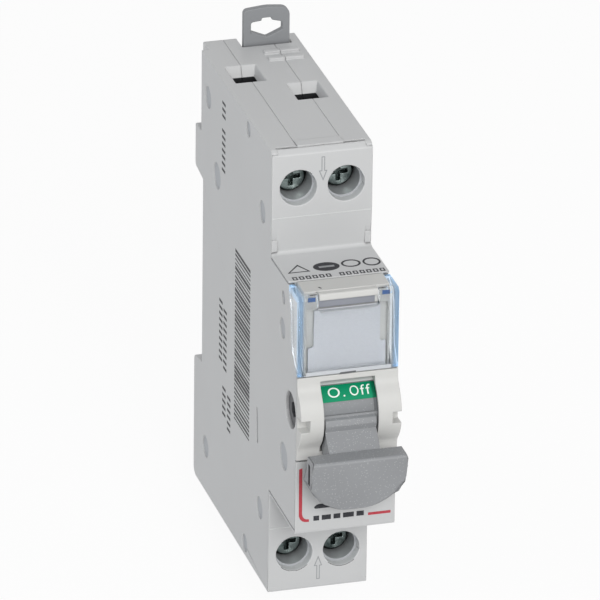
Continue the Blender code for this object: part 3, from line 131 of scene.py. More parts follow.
class Graph:
    """A node tree with short calls for adding and joining nodes."""

    def __init__(self, tree: bpy.types.NodeTree) -> None:
        """Wrap a tree.

        Args:
            tree: The shader or geometry tree to fill.
        """
        self.tree = tree

    def add(self, kind: str, inputs: Optional[dict] = None, **settings: object) -> bpy.types.Node:
        """Add a node.

        Args:
            kind: The node's type name.
            inputs: Values or output sockets by input name or number.
            **settings: Attributes to set on the node.

        Returns:
            The new node.
        """
        node = self.tree.nodes.new(kind)
        for key, value in settings.items():
            setattr(node, key, value)
        self.set(node, inputs or {})
        return node

    def set(self, node: bpy.types.Node, values: dict) -> None:
        """Feed several inputs of a node.

        Args:
            node: The node.
            values: Values or output sockets by input name or number.
        """
        for key, value in values.items():
            self.feed(value, node.inputs[key])

    def feed(self, value: object, socket: bpy.types.NodeSocket) -> None:
        """Link an output to an input, or set the input's own value.

        Args:
            value: An output socket or a plain value.
            socket: The input to feed.
        """
        if isinstance(value, bpy.types.NodeSocket):
            self.tree.links.new(value, socket)
        else:
            socket.default_value = value

    def math(self, operation: str, *values: object) -> bpy.types.NodeSocket:
        """Add a Math node and return its output.

        Args:
            operation: The Math node's operation.
            *values: Numbers or output sockets.

        Returns:
            The result socket.
        """
        return self.add("ShaderNodeMath", dict(enumerate(values)), operation=operation).outputs[0]

    def mix(self, share: object, first: object, second: object) -> bpy.types.NodeSocket:
        """Add a colour Mix node and return its colour.

        Args:
            share: How much of the second colour shows.
            first: The first colour or socket.
            second: The second colour or socket.

        Returns:
            The mixed colour socket.
        """
        return self.add("ShaderNodeMix", {0: share, 6: first, 7: second}, data_type="RGBA").outputs[2]

    def remap(self, value: object, low: float, high: float, to_low: float,
              to_high: float) -> bpy.types.NodeSocket:
        """Map one range onto another, clamped.

        Args:
            value: The socket to map.
            low: Where the input range starts.
            high: Where the input range ends.
            to_low: Result at the start.
            to_high: Result at the end.

        Returns:
            The mapped socket.
        """
        limits = {1: low, 2: high, 3: to_low, 4: to_high}
        return self.add("ShaderNodeMapRange", {0: value, **limits}).outputs[0]


    def bump(self, height: bpy.types.NodeSocket, depth: float, strength: float) -> bpy.types.NodeSocket:
        """Add a Bump node and return its normal.

        Args:
            height: The height socket.
            depth: How deep a full height is.
            strength: The bump's strength.

        Returns:
            The normal socket.
        """
        node = self.add("ShaderNodeBump", {"Strength": strength, "Distance": depth, "Height": height})
        return node.outputs[0]

    def group(self, tree: bpy.types.NodeTree, inputs: dict[str, object]) -> bpy.types.Node:
        """Add a shared group with its own values."""
        return self.add("ShaderNodeGroup", inputs, node_tree=tree)

    def seen_plainly(self) -> bpy.types.NodeSocket:
        """Return 1 for rays from the camera, a mirror or a clear piece, else 0.

        Returns:
            The mask socket.
        """
        path = self.add("ShaderNodeLightPath")
        beside = self.math("MAXIMUM", path.outputs["Is Glossy Ray"], path.outputs["Is Transmission Ray"])
        return self.math("MAXIMUM", path.outputs["Is Camera Ray"], beside)


Opened = tuple[Graph, dict[str, bpy.types.NodeSocket]]


class Effects:
    """The shader groups that several finishes share, each built once."""

    @staticmethod
    def start(name: str, inputs: Sequence[tuple[str, str, object]],
              outputs: Sequence[tuple[str, str]]) -> Opened:
        """Open a new group with its sockets.

        Args:
            name: The group's name.
            inputs: Socket name, socket type and default of each input.
            outputs: Socket name and type of each output.

        Returns:
            The group's graph and its inputs by name.
        """
        tree = bpy.data.node_groups.new(name, "ShaderNodeTree")
        for label, kind, default in inputs:
            socket = tree.interface.new_socket(label, in_out="INPUT", socket_type=kind)
            if default is not None:
                socket.default_value = default
        for label, kind in outputs:
            tree.interface.new_socket(label, in_out="OUTPUT", socket_type=kind)
        graph = Graph(tree)
        begin = graph.add("NodeGroupInput")
        return graph, {label: begin.outputs[label] for label, kind, default in inputs}

    @classmethod
    @cache
    def mould_grain(cls) -> bpy.types.NodeTree:
        """Fine spark-eroded grain and slow tone drift of moulded plastic.

        Returns:
            The group.
        """
        graph, given = cls.start(
            "mould_grain",
            [("Vector", VECTOR, None), ("Grain Scale", FLOAT, 4200.0), ("Drift Scale", FLOAT, 60.0)],
            [("Height", FLOAT), ("Drift", FLOAT), ("Speck", FLOAT)])
        fine = graph.add("ShaderNodeTexNoise", {"Vector": given["Vector"], "Scale": given["Grain Scale"],
                                                "Detail": 3.0, "Roughness": 0.6})
        coarse = graph.math("MULTIPLY", given["Grain Scale"], 0.7)
        cells = graph.add("ShaderNodeTexVoronoi", {"Vector": given["Vector"], "Scale": coarse},
                          feature="SMOOTH_F1")
        drift = graph.add("ShaderNodeTexNoise", {"Vector": given["Vector"], "Scale": given["Drift Scale"],
                                                 "Detail": 2.0})
        height = graph.math("ADD", graph.math("MULTIPLY", fine.outputs[0], 0.6),
                            graph.math("MULTIPLY", cells.outputs["Distance"], 0.4))
        graph.add("NodeGroupOutput", {"Height": height,
                                      "Drift": graph.remap(drift.outputs[0], 0.3, 0.7, 0.0, 1.0),
                                      "Speck": graph.remap(fine.outputs[0], 0.62, 0.75, 0.0, 1.0)})
        return graph.tree

    @classmethod
    @cache
    def soft_edge(cls) -> bpy.types.NodeTree:
        """Rounded shading along sharp edges, with a mask where an edge is.

        Returns:
            The group.
        """
        graph, given = cls.start(
            "soft_edge", [("Radius", FLOAT, 0.00015), ("Height", FLOAT, 0.0), ("Depth", FLOAT, 0.00001)],
            [("Edge", FLOAT), ("Normal", VECTOR)])
        bevel = graph.add("ShaderNodeBevel", {"Radius": given["Radius"]}, samples=4)
        flat = graph.add("ShaderNodeNewGeometry")
        dot = graph.add("ShaderNodeVectorMath", {0: bevel.outputs[0], 1: flat.outputs["Normal"]},
                        operation="DOT_PRODUCT")
        edge = graph.remap(dot.outputs["Value"], 0.80, 0.99, 1.0, 0.0)
        bump = graph.add("ShaderNodeBump", {"Strength": 1.0, "Distance": given["Depth"],
                                            "Height": given["Height"], "Normal": bevel.outputs[0]})
        graph.add("NodeGroupOutput", {"Edge": edge, "Normal": bump.outputs[0]})
        return graph.tree

    @classmethod
    @cache
    def glitter(cls) -> bpy.types.NodeTree:
        """Bright flecks of a metal-filled plastic.

        Returns:
            The group.
        """
        graph, given = cls.start(
            "glitter", [("Vector", VECTOR, None), ("Scale", FLOAT, 3000.0), ("Share", FLOAT, 0.2)],
            [("Fleck", FLOAT), ("Tone", FLOAT)])
        cells = graph.add("ShaderNodeTexVoronoi", {"Vector": given["Vector"], "Scale": given["Scale"]},
                          feature="F1")
        tone = graph.add("ShaderNodeSeparateColor", {0: cells.outputs["Color"]})
        picked = graph.math("LESS_THAN", tone.outputs[0], given["Share"])
        core = graph.math("LESS_THAN", cells.outputs["Distance"], 0.42)
        graph.add("NodeGroupOutput", {"Fleck": graph.math("MULTIPLY", picked, core), "Tone": tone.outputs[1]})
        return graph.tree

    @classmethod
    @cache
    def draw_lines(cls) -> bpy.types.NodeTree:
        """Long fine lines of drawn or plated metal.

        Returns:
            The group.
        """
        graph, given = cls.start(
            "draw_lines",
            [("Vector", VECTOR, None), ("Stretch", VECTOR, (1.0, 1.0, 1.0)), ("Scale", FLOAT, 900.0)],
            [("Height", FLOAT), ("Tone", FLOAT)])
        pull = graph.add("ShaderNodeVectorMath", {0: given["Vector"], 1: given["Stretch"]},
                         operation="MULTIPLY")
        lines = graph.add("ShaderNodeTexNoise", {"Vector": pull.outputs[0], "Scale": given["Scale"],
                                                 "Detail": 4.0, "Roughness": 0.65})
        cloud = graph.add("ShaderNodeTexNoise", {"Vector": given["Vector"], "Scale": 260.0, "Detail": 3.0})
        tone = graph.math("ADD", graph.math("MULTIPLY", lines.outputs[0], 0.5),
                          graph.math("MULTIPLY", cloud.outputs[0], 0.5))
        graph.add("NodeGroupOutput", {"Height": lines.outputs[0],
                                      "Tone": graph.remap(tone, 0.35, 0.65, 0.0, 1.0)})
        return graph.tree

    @classmethod
    @cache
    def painted_recess_shade(cls) -> bpy.types.NodeTree:
        """Painted shade: darkening from ambient occlusion deep in holes and corners, broken up a little by
        noise.

        Returns:
            The group.
        """
        graph, given = cls.start(
            "painted_recess_shade", [("Vector", VECTOR, None), ("Reach", FLOAT, 0.003)], [("Dark", FLOAT)])
        shade = graph.add("ShaderNodeAmbientOcclusion", {"Distance": given["Reach"]}, samples=4)
        patch = graph.add("ShaderNodeTexNoise", {"Vector": given["Vector"], "Scale": 500.0, "Detail": 2.0})
        painted_light = graph.math("ADD", shade.outputs["AO"], graph.math("MULTIPLY", patch.outputs[0], 0.12))
        graph.add("NodeGroupOutput", {"Dark": graph.remap(painted_light, 0.15, 0.75, 1.0, 0.0)})
        return graph.tree


def new_material(name: str) -> tuple[bpy.types.Material, Graph, bpy.types.Node]:
    """Start a node material.

    Args:
        name: The material's name.

    Returns:
        The material, its graph and its Principled shader.
    """
    made = bpy.data.materials.new(name)
    made.use_nodes = True
    shader = made.node_tree.nodes["Principled BSDF"]
    return made, Graph(made.node_tree), shader


def object_place(graph: Graph, scale: Point = (1.0, 1.0, 1.0)) -> bpy.types.NodeSocket:
    """Return object coordinates through a Mapping node.

    Args:
        graph: The material's graph.
        scale: Stretch of the pattern.

    Returns:
        The mapped vector socket.
    """
    place = graph.add("ShaderNodeTexCoord")
    mapped = graph.add("ShaderNodeMapping", {"Vector": place.outputs["Object"], "Scale": scale})
    return mapped.outputs[0]


@dataclass(frozen=True)
class MouldedPlastic:
    """A moulded plastic finish with grain, slow tone drift, soft edges with a painted highlight, and painted
    shade in deep corners.
    """

    name: str
    colour: Colour
    roughness: float = 0.45
    speck_roughness: float = 0.15
    grain_scale: float = 4200.0
    grain_depth: float = 0.000012
    drift: float = 0.05
    edge_light: float = 0.25
    edge_cover: float = 0.8
    edge_radius: float = 0.00012
    deep_dark: float = 0.5
    deep_reach: float = 0.003
    specular: float = 0.4

    def make(self) -> bpy.types.Material:
        """Build the material.

        Returns:
            The material.
        """
        made, graph, shader = new_material(self.name)
        place = object_place(graph)
        grain = graph.group(Effects.mould_grain(), {"Vector": place, "Grain Scale": self.grain_scale})
        edge = graph.group(Effects.soft_edge(), {"Radius": self.edge_radius, "Depth": self.grain_depth,
                                                 "Height": grain.outputs["Height"]})
        deep = graph.group(Effects.painted_recess_shade(), {"Vector": place, "Reach": self.deep_reach})
        darker = rgba(self.colour, 1.0 - 2.0 * self.drift)
        colour = graph.mix(grain.outputs["Drift"], rgba(self.colour), darker)
        # Painted highlight: edges are lightened where the bevelled normal turns away from the face's normal.
        painted_light = graph.math("MULTIPLY", edge.outputs["Edge"], self.edge_cover)
        colour = graph.mix(painted_light, colour, lightened(self.colour, self.edge_light))
        # Painted shade: deep corners and holes are darkened by ambient occlusion.
        colour = graph.mix(deep.outputs["Dark"], colour, rgba(self.colour, 1.0 - self.deep_dark))
        rough = graph.remap(grain.outputs["Speck"], 0.0, 1.0, self.roughness,
                            min(self.roughness + self.speck_roughness, 1.0))
        graph.set(shader, {"Base Color": colour, "Roughness": rough, "Normal": edge.outputs["Normal"],
                           "Specular IOR Level": self.specular})
        return made


@dataclass(frozen=True)
class FleckedPlastic:
    """Grey plastic filled with fine metal flecks, as on a lever, with a painted highlight on its edges and
    painted shade in its corners.
    """

    name: str
    colour: Colour
    fleck: Colour
    roughness: float = 0.42
    roughness_below: float = 0.08
    roughness_above: float = 0.1
    grain_scale: float = 3600.0
    grain_depth: float = 0.00002
    drift_shade: float = 0.86
    fleck_scale: float = 5600.0
    fleck_share: float = 0.10
    fleck_cover: float = 0.5
    edge_light: float = 0.2
    edge_cover: float = 0.5
    edge_radius: float = 0.00018
    deep_shade: float = 0.45
    deep_reach: float = 0.002

    def make(self) -> bpy.types.Material:
        """Build the material.

        Returns:
            The material.
        """
        made, graph, shader = new_material(self.name)
        place = object_place(graph)
        grain = graph.group(Effects.mould_grain(), {"Vector": place, "Grain Scale": self.grain_scale})
        flecks = graph.group(Effects.glitter(), {"Vector": place, "Scale": self.fleck_scale,
                                                 "Share": self.fleck_share})
        edge = graph.group(Effects.soft_edge(), {"Radius": self.edge_radius, "Depth": self.grain_depth,
                                                 "Height": grain.outputs["Height"]})
        deep = graph.group(Effects.painted_recess_shade(), {"Vector": place, "Reach": self.deep_reach})
        colour = graph.mix(grain.outputs["Drift"], rgba(self.colour), rgba(self.colour, self.drift_shade))
        bright = graph.math("MULTIPLY", flecks.outputs["Fleck"], self.fleck_cover)
        colour = graph.mix(bright, colour, rgba(self.fleck))
        # Painted highlight: edges are lightened where the bevelled normal turns away from the face's normal.
        painted_light = graph.math("MULTIPLY", edge.outputs["Edge"], self.edge_cover)
        colour = graph.mix(painted_light, colour, lightened(self.colour, self.edge_light))
        # Painted shade: deep corners and holes are darkened by ambient occlusion.
        colour = graph.mix(deep.outputs["Dark"], colour, rgba(self.colour, self.deep_shade))
        rough = graph.remap(flecks.outputs["Tone"], 0.0, 1.0, self.roughness - self.roughness_below,
                            self.roughness + self.roughness_above)
        graph.set(shader, {"Base Color": colour, "Roughness": rough, "Normal": edge.outputs["Normal"]})
        return made


@dataclass(frozen=True)
class PlatedMetal:
    """A drawn or plated metal with fine lines, cloudy tone and painted shade deep in its holes and corners.
    """

    name: str
    colour: Colour
    dull: Colour
    roughness: float = 0.3
    roughness_above: float = 0.2
    stretch: Point = (1.0, 0.15, 1.0)
    line_scale: float = 1400.0
    depth: float = 0.000004
    edge_radius: float = 0.00012
    deep_shade: float = 0.25
    deep_reach: float = 0.002

    def make(self) -> bpy.types.Material:
        """Build the material.

        Returns:
            The material.
        """
        made, graph, shader = new_material(self.name)
        place = object_place(graph)
        lines = graph.group(Effects.draw_lines(), {"Vector": place, "Stretch": self.stretch,
                                                   "Scale": self.line_scale})
        edge = graph.group(Effects.soft_edge(), {"Radius": self.edge_radius, "Depth": self.depth,
                                                 "Height": lines.outputs["Height"]})
        deep = graph.group(Effects.painted_recess_shade(), {"Vector": place, "Reach": self.deep_reach})
        colour = graph.mix(lines.outputs["Tone"], rgba(self.colour), rgba(self.dull))
        # Painted shade: holes and corners are darkened by ambient occlusion.
        colour = graph.mix(deep.outputs["Dark"], colour, rgba(self.dull, self.deep_shade))
        rough = graph.remap(lines.outputs["Tone"], 0.0, 1.0, self.roughness,
                            self.roughness + self.roughness_above)
        graph.set(shader, {"Base Color": colour, "Roughness": rough, "Normal": edge.outputs["Normal"],
                           "Metallic": 1.0})
        return made


@dataclass(frozen=True)
class ClearPlastic:
    """Clear plastic whose side flanges take a blue edge tint and a painted glow of emitted light."""

    name: str
    clear: Colour
    edge: Colour
    glow: Colour = (0.42, 0.68, 0.95)
    glow_strength: float = 0.2
    edge_start: float = 0.0077
    edge_full: float = 0.0083
    inner_share: float = 0.12
    front: float = -0.0606
    front_fade: float = 0.0003
    top: float = 0.0206
    top_fade: float = 0.0005
    wave_scale: float = 90.0
    wave_depth: float = 0.00002
    wave_strength: float = 0.4
    roughness: float = 0.03
    ior: float = 1.46

    def make(self) -> bpy.types.Material:
        """Build the material.

        Returns:
            The material.
        """
        made, graph, shader = new_material(self.name)
        place = object_place(graph)
        parts = graph.add("ShaderNodeSeparateXYZ", {0: place})
        across = graph.math("ABSOLUTE", parts.outputs[0])
        side = graph.remap(across, self.edge_start, self.edge_full, 0.0, 1.0)
        on_front = graph.remap(parts.outputs[1], self.front, self.front + self.front_fade, 1.0, 0.0)
        on_top = graph.remap(parts.outputs[2], self.top, self.top + self.top_fade, 0.0, 1.0)
        end_on = graph.math("MAXIMUM", on_front, on_top)
        side = graph.math("MULTIPLY", side, graph.remap(end_on, 0.0, 1.0, self.inner_share, 1.0))
        waves = graph.add("ShaderNodeTexNoise", {"Vector": place, "Scale": self.wave_scale, "Detail": 1.0})
        # Painted light: the side flanges emit a faint blue glow, strongest at the cover's front and top.
        graph.set(shader, {"Base Color": graph.mix(side, rgba(self.clear), rgba(self.edge)),
                           "Emission Color": graph.mix(side, (0.0, 0.0, 0.0, 1.0), rgba(self.glow)),
                           "Emission Strength": self.glow_strength, "Roughness": self.roughness,
                           "Normal": graph.bump(waves.outputs[0], self.wave_depth, self.wave_strength),
                           "IOR": self.ior, "Transmission Weight": 1.0})
        return made


@dataclass(frozen=True)
class PaperCard:
    """Matt card with faint fibres."""

    name: str
    colour: Colour
    fibre_scale: float = 1600.0
    fibre_stretch: Point = (1.0, 1.0, 3.0)
    fibre_depth: float = 0.00001
    fibre_strength: float = 0.5
    fibre_shade: float = 0.93
    roughness: float = 0.75

    def make(self) -> bpy.types.Material:
        """Build the material.

        Returns:
            The material.
        """
        made, graph, shader = new_material(self.name)
        place = object_place(graph, scale=self.fibre_stretch)
        fibre = graph.add("ShaderNodeTexNoise", {"Vector": place, "Scale": self.fibre_scale, "Detail": 5.0,
                                                 "Roughness": 0.7})
        tone = graph.remap(fibre.outputs[0], 0.35, 0.65, 0.0, 1.0)
        shade = rgba(self.colour, self.fibre_shade)
        graph.set(shader, {"Base Color": graph.mix(tone, rgba(self.colour), shade),
                           "Normal": graph.bump(fibre.outputs[0], self.fibre_depth, self.fibre_strength),
                           "Roughness": self.roughness})
        return made


@dataclass(frozen=True)
class PrintInk:
    """Pad-printed ink, slightly uneven where the pad lifts."""

    name: str
    colour: Colour
    under: Colour
    roughness: float = 0.5
    thin: float = 0.25
    specular: float = 0.2
    patch_scale: float = 2300.0
    patch_depth: float = 0.000006
    patch_strength: float = 0.4

    def make(self) -> bpy.types.Material:
        """Build the material.

        Returns:
            The material.
        """
        made, graph, shader = new_material(self.name)
        place = object_place(graph)
        cover = graph.add("ShaderNodeTexNoise", {"Vector": place, "Scale": self.patch_scale, "Detail": 3.0})
        thin = graph.remap(cover.outputs[0], 0.52, 0.72, 0.0, self.thin)
        graph.set(shader, {"Base Color": graph.mix(thin, rgba(self.colour), rgba(self.under)),
                           "Normal": graph.bump(cover.outputs[0], self.patch_depth, self.patch_strength),
                           "Roughness": self.roughness, "Specular IOR Level": self.specular})
        return made


class Finishes:
    """All finishes of the switch, each made once."""

    def __init__(self) -> None:
        """Make every finish."""
        self.casing = MouldedPlastic("casing_grey", srgb(204, 205, 206), roughness=0.5, drift=0.015,
                                     edge_light=0.45, edge_radius=0.00045, deep_dark=0.4).make()
        # Painted shade: a darker copy of the casing grey for the floors of sunk marks and the step inside
        # each screw hole.
        self.recess = MouldedPlastic("casing_recess_shade", srgb(186, 189, 193), roughness=0.55, drift=0.02,
                                     edge_light=0.1, edge_radius=0.0003, deep_dark=0.35).make()
        # Painted light: a lighter copy of the casing grey for the walls of the screw holes' mouths.
        self.mouth = MouldedPlastic("casing_mouth_lit", srgb(216, 218, 219), roughness=0.42, drift=0.01,
                                    edge_light=0.5, edge_radius=0.0003, deep_dark=0.12).make()
        # Painted shade: a darker copy of the casing grey for the screw holes' walls behind the step.
        self.bore = MouldedPlastic("casing_bore_shade", srgb(174, 177, 179), roughness=0.35, drift=0.06,
                                   edge_light=0.1, deep_dark=0.4).make()
        # Painted highlight: a lighter copy of the casing grey for the taper ridge strips and the drum's
        # crown.
        self.rim = MouldedPlastic("casing_rim_highlight", srgb(222, 224, 224), roughness=0.4, deep_dark=0.0).make()
        # Painted shade: near black for the walls of the cable throats.
        self.throat = MouldedPlastic("throat_painted_shade", srgb(40, 41, 43), roughness=0.8, drift=0.05,
                                     edge_light=0.0, deep_dark=0.8, specular=0.1).make()
        self.bezel = MouldedPlastic("bezel_warm_white", srgb(206, 206, 204), roughness=0.42, drift=0.012,
                                    edge_light=0.35, edge_radius=0.00025, deep_dark=0.25,
                                    deep_reach=0.0008).make()
        self.claw = MouldedPlastic("claw_grey", srgb(142, 144, 147), roughness=0.5, drift=0.03,
                                   edge_light=0.18, deep_reach=0.0015).make()
        self.rotor = MouldedPlastic("rotor_black", srgb(48, 49, 52), roughness=0.45, drift=0.05,
                                    edge_light=0.1).make()
        # Painted shade: dark grey for the toggle's hubs and the slots in its paddle.
        self.socket = MouldedPlastic("hub_painted_shade", srgb(88, 89, 92), roughness=0.5, drift=0.05,
                                     edge_light=0.1, deep_dark=0.2).make()
        self.toggle = FleckedPlastic("toggle_flecked_grey", srgb(146, 148, 151), srgb(200, 202, 206)).make()
        self.zinc = PlatedMetal("zinc_plate", srgb(172, 184, 182), srgb(64, 78, 76), roughness=0.2,
                                line_scale=900.0, depth=0.00003).make()
        self.cage = PlatedMetal("cage_steel", srgb(150, 154, 158), srgb(96, 100, 104), roughness=0.38).make()
        self.copper = PlatedMetal("tinned_copper", srgb(206, 150, 118), srgb(170, 110, 84),
                                  roughness=0.32).make()
        self.pin = PlatedMetal("pin_steel", srgb(190, 190, 192), srgb(140, 140, 143), roughness=0.22,
                               stretch=(0.2, 1.0, 1.0)).make()
        self.clear = ClearPlastic("clear_cover", srgb(252, 254, 255), srgb(172, 204, 240)).make()
        self.card = PaperCard("label_card", srgb(210, 212, 218)).make()
        self.green = PrintInk("ink_green", srgb(0, 140, 98), srgb(10, 146, 104), thin=0.15).make()
        # Painted shade: a darker green where the off band runs onto the drum's shaded side.
        self.green_in_shade = PrintInk("ink_green_painted_shade", srgb(0, 104, 76), srgb(6, 110, 82), thin=0.15).make()
        self.white = PrintInk("ink_white", srgb(238, 246, 240), srgb(200, 222, 208), thin=0.15).make()
        self.red = PrintInk("ink_red", srgb(180, 66, 76), srgb(200, 120, 126), thin=0.15).make()
        self.dark = PrintInk("ink_dark", srgb(52, 53, 57), srgb(110, 112, 116), thin=0.2).make()
        self.pale = PrintInk("ink_grey", srgb(150, 152, 155), srgb(190, 192, 195)).make()
        self.hinge = MouldedPlastic("hinge_blue", srgb(66, 98, 150), roughness=0.25, deep_dark=0.1).make()
        # Painted light: an opaque pale grey for the lit edges of the clear cover's notch and foot.
        self.cover_edge_light = MouldedPlastic("cover_edge_painted_light", srgb(204, 208, 213), roughness=0.3,
                                    deep_dark=0.1).make()
        self.shade = MouldedPlastic("recess_shade", srgb(150, 153, 162), roughness=0.6, deep_dark=0.2).make()
        # Painted shade: a darker copy of the toggle's grey for the drum below its band and the top of the
        # neck.
        self.drum = FleckedPlastic("drum_painted_shade", srgb(130, 133, 136), srgb(170, 172, 176)).make()
        # Painted shade: a slightly darker copy of the casing grey for the shoulders' fronts and the lip ends.
        self.front = MouldedPlastic("casing_front", srgb(195, 196, 197), roughness=0.5, drift=0.015,
                                    edge_light=0.45, edge_radius=0.00045, deep_dark=0.4).make()
        # Painted shade: dark grey for the crease under the drum, the drum's shaded side and the cover's
        # release slot.
        self.crease = MouldedPlastic("crease_painted_shade", srgb(98, 101, 104), roughness=0.6, deep_dark=0.1).make()


def place_mesh(name: str, mesh: bpy.types.Mesh, finish: bpy.types.Material, body: str,
               slot: str) -> bpy.types.Object:
    """Put a finished mesh in the scene as one piece.

    Args:
        name: The piece's name.
        mesh: Its mesh, already in place.
        finish: Its material.
        body: The body it rides on.
        slot: The record's material slot; not used.

    Returns:
        The piece.
    """
    mesh.name = name
    piece = bpy.data.objects.new(name, mesh)
    bpy.context.scene.collection.objects.link(piece)
    if not mesh.materials:
        mesh.materials.append(finish)
    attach(piece, body)
    LOG.info("%s: %d faces on %s", name, len(mesh.polygons), body)
    return piece


def bake(holder: bpy.types.Object) -> bpy.types.Mesh:
    """Return the evaluated mesh of an object and remove the object.

    Args:
        holder: An object with live modifiers.

    Returns:
        A plain mesh without modifiers.
    """
    bpy.context.view_layer.update()
    graph = bpy.context.evaluated_depsgraph_get()
    mesh = bpy.data.meshes.new_from_object(holder.evaluated_get(graph), depsgraph=graph)
    bpy.data.objects.remove(holder, do_unlink=True)
    return mesh


def mesh_of(work: bmesh.types.BMesh, name: str) -> bpy.types.Mesh:
    """Turn a working mesh into a plain one and free it.

    Args:
        work: The working mesh.
        name: The plain mesh's name.

    Returns:
        The plain mesh.
    """
    mesh = bpy.data.meshes.new(name)
    work.to_mesh(mesh)
    work.free()
    return mesh


@dataclass(frozen=True)
class Paint:
    """A second finish for the faces of a mesh that lie in a zone."""

    finish: bpy.types.Material
    inside: Zone

    def apply(self, mesh: bpy.types.Mesh) -> None:
        """Give the faces whose middle and normal fit the zone this finish.

        Args:
            mesh: The mesh to paint.
        """
        mesh.materials.append(self.finish)
        number = len(mesh.materials) - 1
        for face in mesh.polygons:
            if self.inside(face.center, face.normal):
                face.material_index = number


@dataclass
class SmoothedNode:
    """A CAD node shown with welded faces, softened edges and smooth round walls.

    Attributes:
        node: The CAD node's name.
        body: The body it rides on.
        slot: The record's material slot.
        finish: Its material.
        edge: Width of the softened edge.
        sharp_deg: Turns above this angle are shaded as an edge.
        shifts: Planes to move, so that seams between casing pieces show as hairlines.
        paints: Zones that take another finish.
        levels: Heights at which the rear faces are split, so that a paint can end there.
        hold: Gives the place of a vertex that the shifts must leave alone, or nothing.
        rework: A last change to the welded mesh.
        segments: Steps across the softened edge.
        round_deg: Turns below this angle are never rounded.
        weld: Vertices nearer than this are one.
        flat_deg: Faces that turn less than this are joined.
        same_plane: How near to its plane a shifted vertex lies.
        split_rear: The levels split only faces that reach behind this y.
    """

    node: str
    body: str
    slot: str
    finish: bpy.types.Material
    edge: float = 0.00012
    sharp_deg: float = 32.0
    shifts: Sequence[Shift] = ()
    paints: Sequence[Paint] = ()
    levels: Sequence[float] = ()
    hold: Optional[Callable[[Vector], Optional[Vector]]] = None
    rework: Optional[Callable[[bmesh.types.BMesh], None]] = None
    segments: int = 2
    round_deg: float = 32.0
    weld: float = 2e-6
    flat_deg: float = 0.4
    same_plane: float = 2e-5
    split_rear: float = -0.0380

    def shift(self, work: bmesh.types.BMesh) -> None:
        """Move the vertices on the shifted planes, apart from the held ones.

        Args:
            work: The welded mesh.
        """
        for vert in work.verts:
            held = self.hold(vert.co) if self.hold else None
            if held is not None:
                vert.co = held
                continue
            for axis, old, new in self.shifts:
                same_side = axis == 0 or vert.co[axis] * old > 0.0
                if same_side and abs(abs(vert.co[axis]) - abs(old)) < self.same_plane:
                    vert.co[axis] = math.copysign(new, vert.co[axis])

    def split(self, work: bmesh.types.BMesh) -> None:
        """Split the rear faces at each level.

        Args:
            work: The welded mesh.
        """
        for level in self.levels:
            faces = [face for face in work.faces if max(vert.co.y for vert in face.verts) > self.split_rear]
            edges = {edge for face in faces for edge in face.edges}
            verts = {vert for face in faces for vert in face.verts}
            bmesh.ops.bisect_plane(work, geom=[*verts, *edges, *faces], dist=1e-6,
                                   plane_co=(0.0, 0.0, level), plane_no=(0.0, 0.0, 1.0))

    def welded(self) -> bpy.types.Mesh:
        """Weld the node's mesh, join its flat triangles and rework it.

        Returns:
            The welded mesh.
        """
        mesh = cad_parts[self.node].data.copy()
        mesh.materials.clear()
        work = bmesh.new()
        work.from_mesh(mesh)
        bmesh.ops.remove_doubles(work, verts=work.verts, dist=self.weld)
        bmesh.ops.dissolve_limit(work, angle_limit=math.radians(self.flat_deg), verts=work.verts,
                                 edges=work.edges)
        bmesh.ops.recalc_face_normals(work, faces=work.faces)
        self.shift(work)
        self.split(work)
        work.normal_update()
        if self.rework:
            self.rework(work)
        work.to_mesh(mesh)
        work.free()
        custom = mesh.attributes.get("custom_normal")
        if custom:
            mesh.attributes.remove(custom)
        mesh.shade_smooth()
        mesh.set_sharp_from_angle(angle=math.radians(self.sharp_deg))
        return mesh

    def soften(self, holder: bpy.types.Object) -> None:
        """Round the edges of the shape, with plain normals on the flat faces.

        Args:
            holder: The object to round.
        """
        rounded = holder.modifiers.new("soft_edges", "BEVEL")
        rounded.width = self.edge
        rounded.segments = self.segments
        rounded.limit_method = "ANGLE"
        rounded.angle_limit = math.radians(max(self.sharp_deg, self.round_deg))
        rounded.use_clamp_overlap = False
        rounded.miter_outer = "MITER_ARC"
        rounded.harden_normals = self.sharp_deg >= self.round_deg
        if not rounded.harden_normals:
            flat = holder.modifiers.new("flat_normals", "WEIGHTED_NORMAL")
            flat.keep_sharp = True

    def build(self) -> bpy.types.Object:
        """Make the shown piece and let it stand for the node.

        Returns:
            The piece.
        """
        mesh = self.welded()
        mesh.materials.append(self.finish)
        holder = bpy.data.objects.new(self.node + "_holder", mesh)
        bpy.context.scene.collection.objects.link(holder)
        self.soften(holder)
        finished = bake(holder)
        for paint in self.paints:
            paint.apply(finished)
        piece = place_mesh(self.node + "_shown", finished, self.finish, self.body, self.slot)
        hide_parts(self.node)
        return piece


